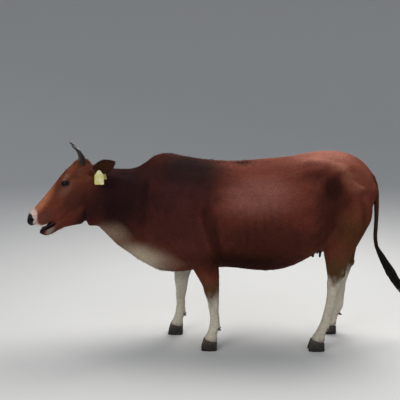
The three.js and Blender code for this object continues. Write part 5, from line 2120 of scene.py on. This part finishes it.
@dataclass
class Studio:
    """The floor, the lights, the sky and the camera."""

    eye_height: float = 1.485
    distance: float = 3.640
    tilt: float = math.radians(9.75)
    view: float = math.radians(35)
    flat: float = 7.0
    curve: float = 4.0
    wall: float = 8.0
    sides: int = 96
    aim: float = 0.7  # the height that the lamps point at

    def camera(self) -> None:
        """Sets the camera beside the cow, a little above its back."""
        lens = bpy.data.cameras.new("camera")
        lens.sensor_fit = "HORIZONTAL"
        lens.angle = self.view
        place = new_object("camera", lens)
        place.location = (-BODY.shift, -self.distance, self.eye_height)
        place.rotation_euler = (math.pi / 2 - self.tilt, 0, 0)
        bpy.context.scene.camera = place

    def floor(self) -> None:
        """Lays a wide round pale floor that curves up into a wall far out."""
        turn = turns(self.sides)
        bend = np.linspace(0, np.pi / 2, 13)
        out = [0.02, 2.0, self.flat, *(self.flat + self.curve * np.sin(bend[1:])), self.flat + self.curve]
        up = [0, 0, 0, *(self.curve * (1 - np.cos(bend[1:]))), self.wall]
        rings = [[(far * math.cos(t), far * math.sin(t), high) for t in turn] for far, high in zip(out, up)]
        points = [point for ring in rings for point in ring]
        faces = [tuple(range(self.sides))]
        for i in range(len(rings) - 1):
            for j in range(self.sides):
                after = (j + 1) % self.sides
                first, second = i * self.sides, (i + 1) * self.sides
                faces.append((first + j, second + j, second + after, first + after))
        mesh = bpy.data.meshes.new("floor")
        mesh.from_pydata(points, [], faces)
        mesh.shade_smooth()
        paper = bpy.data.materials.new("pale floor")
        paper.use_nodes = True
        shader = paper.node_tree.nodes["Principled BSDF"]
        shader.inputs["Base Color"].default_value = (0.50, 0.50, 0.49, 1)
        shader.inputs["Roughness"].default_value = 0.9
        mesh.materials.append(paper)
        new_object("floor", mesh)

    def lamp(self, name: str, place: tuple, power: float, size: float, warmth: tuple) -> None:
        """Hangs one soft square lamp that points at the cow.

        Args:
            name: Its name.
            place: Where it hangs.
            power: Its power in watts.
            size: The length of its sides.
            warmth: Its colour.
        """
        light = bpy.data.lights.new(name, "AREA")
        light.energy = power
        light.size = size
        light.color = warmth
        thing = new_object(name, light)
        thing.location = place
        towards = Vector((0, 0, self.aim)) - Vector(place)
        thing.rotation_euler = towards.to_track_quat("-Z", "Y").to_euler()

    def build(self) -> None:
        """Sets up the whole studio."""
        self.camera()
        self.floor()
        self.lamp("key", (-2.4, -3.2, 3.2), 88, 2.4, (1.0, 0.97, 0.93))
        self.lamp("top", (0.9, 1.1, 3.9), 200, 2.4, (1.0, 0.97, 0.93))
        self.lamp("fill", (3.0, -3.4, 1.8), 28, 2.5, (0.95, 0.97, 1.0))
        world = bpy.data.worlds.new("soft sky")
        world.use_nodes = True
        world.node_tree.nodes["Background"].inputs["Color"].default_value = (0.80, 0.86, 0.95, 1)
        world.node_tree.nodes["Background"].inputs["Strength"].default_value = 0.6
        bpy.context.scene.world = world
        bpy.context.scene.view_settings.view_transform = "Standard"


def main() -> None:
    """Builds the cow and its studio."""
    Studio().build()
    hair_streaks()
    growth_grain()
    hide = CoatFinish("hide", roughness=0.75, specular=0.07, on_skin=True)
    fur = CoatFinish("coat hair", roughness=0.72, specular=0.07).build()
    long_hair = CoatFinish("switch hair", roughness=0.58, specular=0.14, fineness=800.0)
    eye = PaintedFinish("eye", roughness=0.10, specular=0.14, coat=0.05)
    tongue = PlainFinish("tongue", roughness=0.38, specular=0.4, first=0x2A161B, second=0x41262C, size=90.0)
    horn = HornFinish("horn", roughness=0.34, specular=0.5, dark=0x0E0B09, pale=0x352C24)
    hoof = HornFinish("hoof", roughness=0.55, specular=0.4, dark=0x1D1813, pale=0x4E453A, rings=9.0)
    tag = PlainFinish("tag plastic", roughness=0.42, specular=0.5, subsurface=0.15)
    surface = Skin().build(hide.build())
    Coat(surface, fur).build()
    LongHair(surface, fur, long_hair.build()).build()
    for maker, finish in ((Eyes, eye), (Tongue, tongue), (Horns, horn), (Hoofs, hoof), (Tags, tag)):
        maker(finish.build()).build()


if __name__ == "__main__":
    logging.basicConfig(level=logging.INFO, format="%(message)s")
    main()
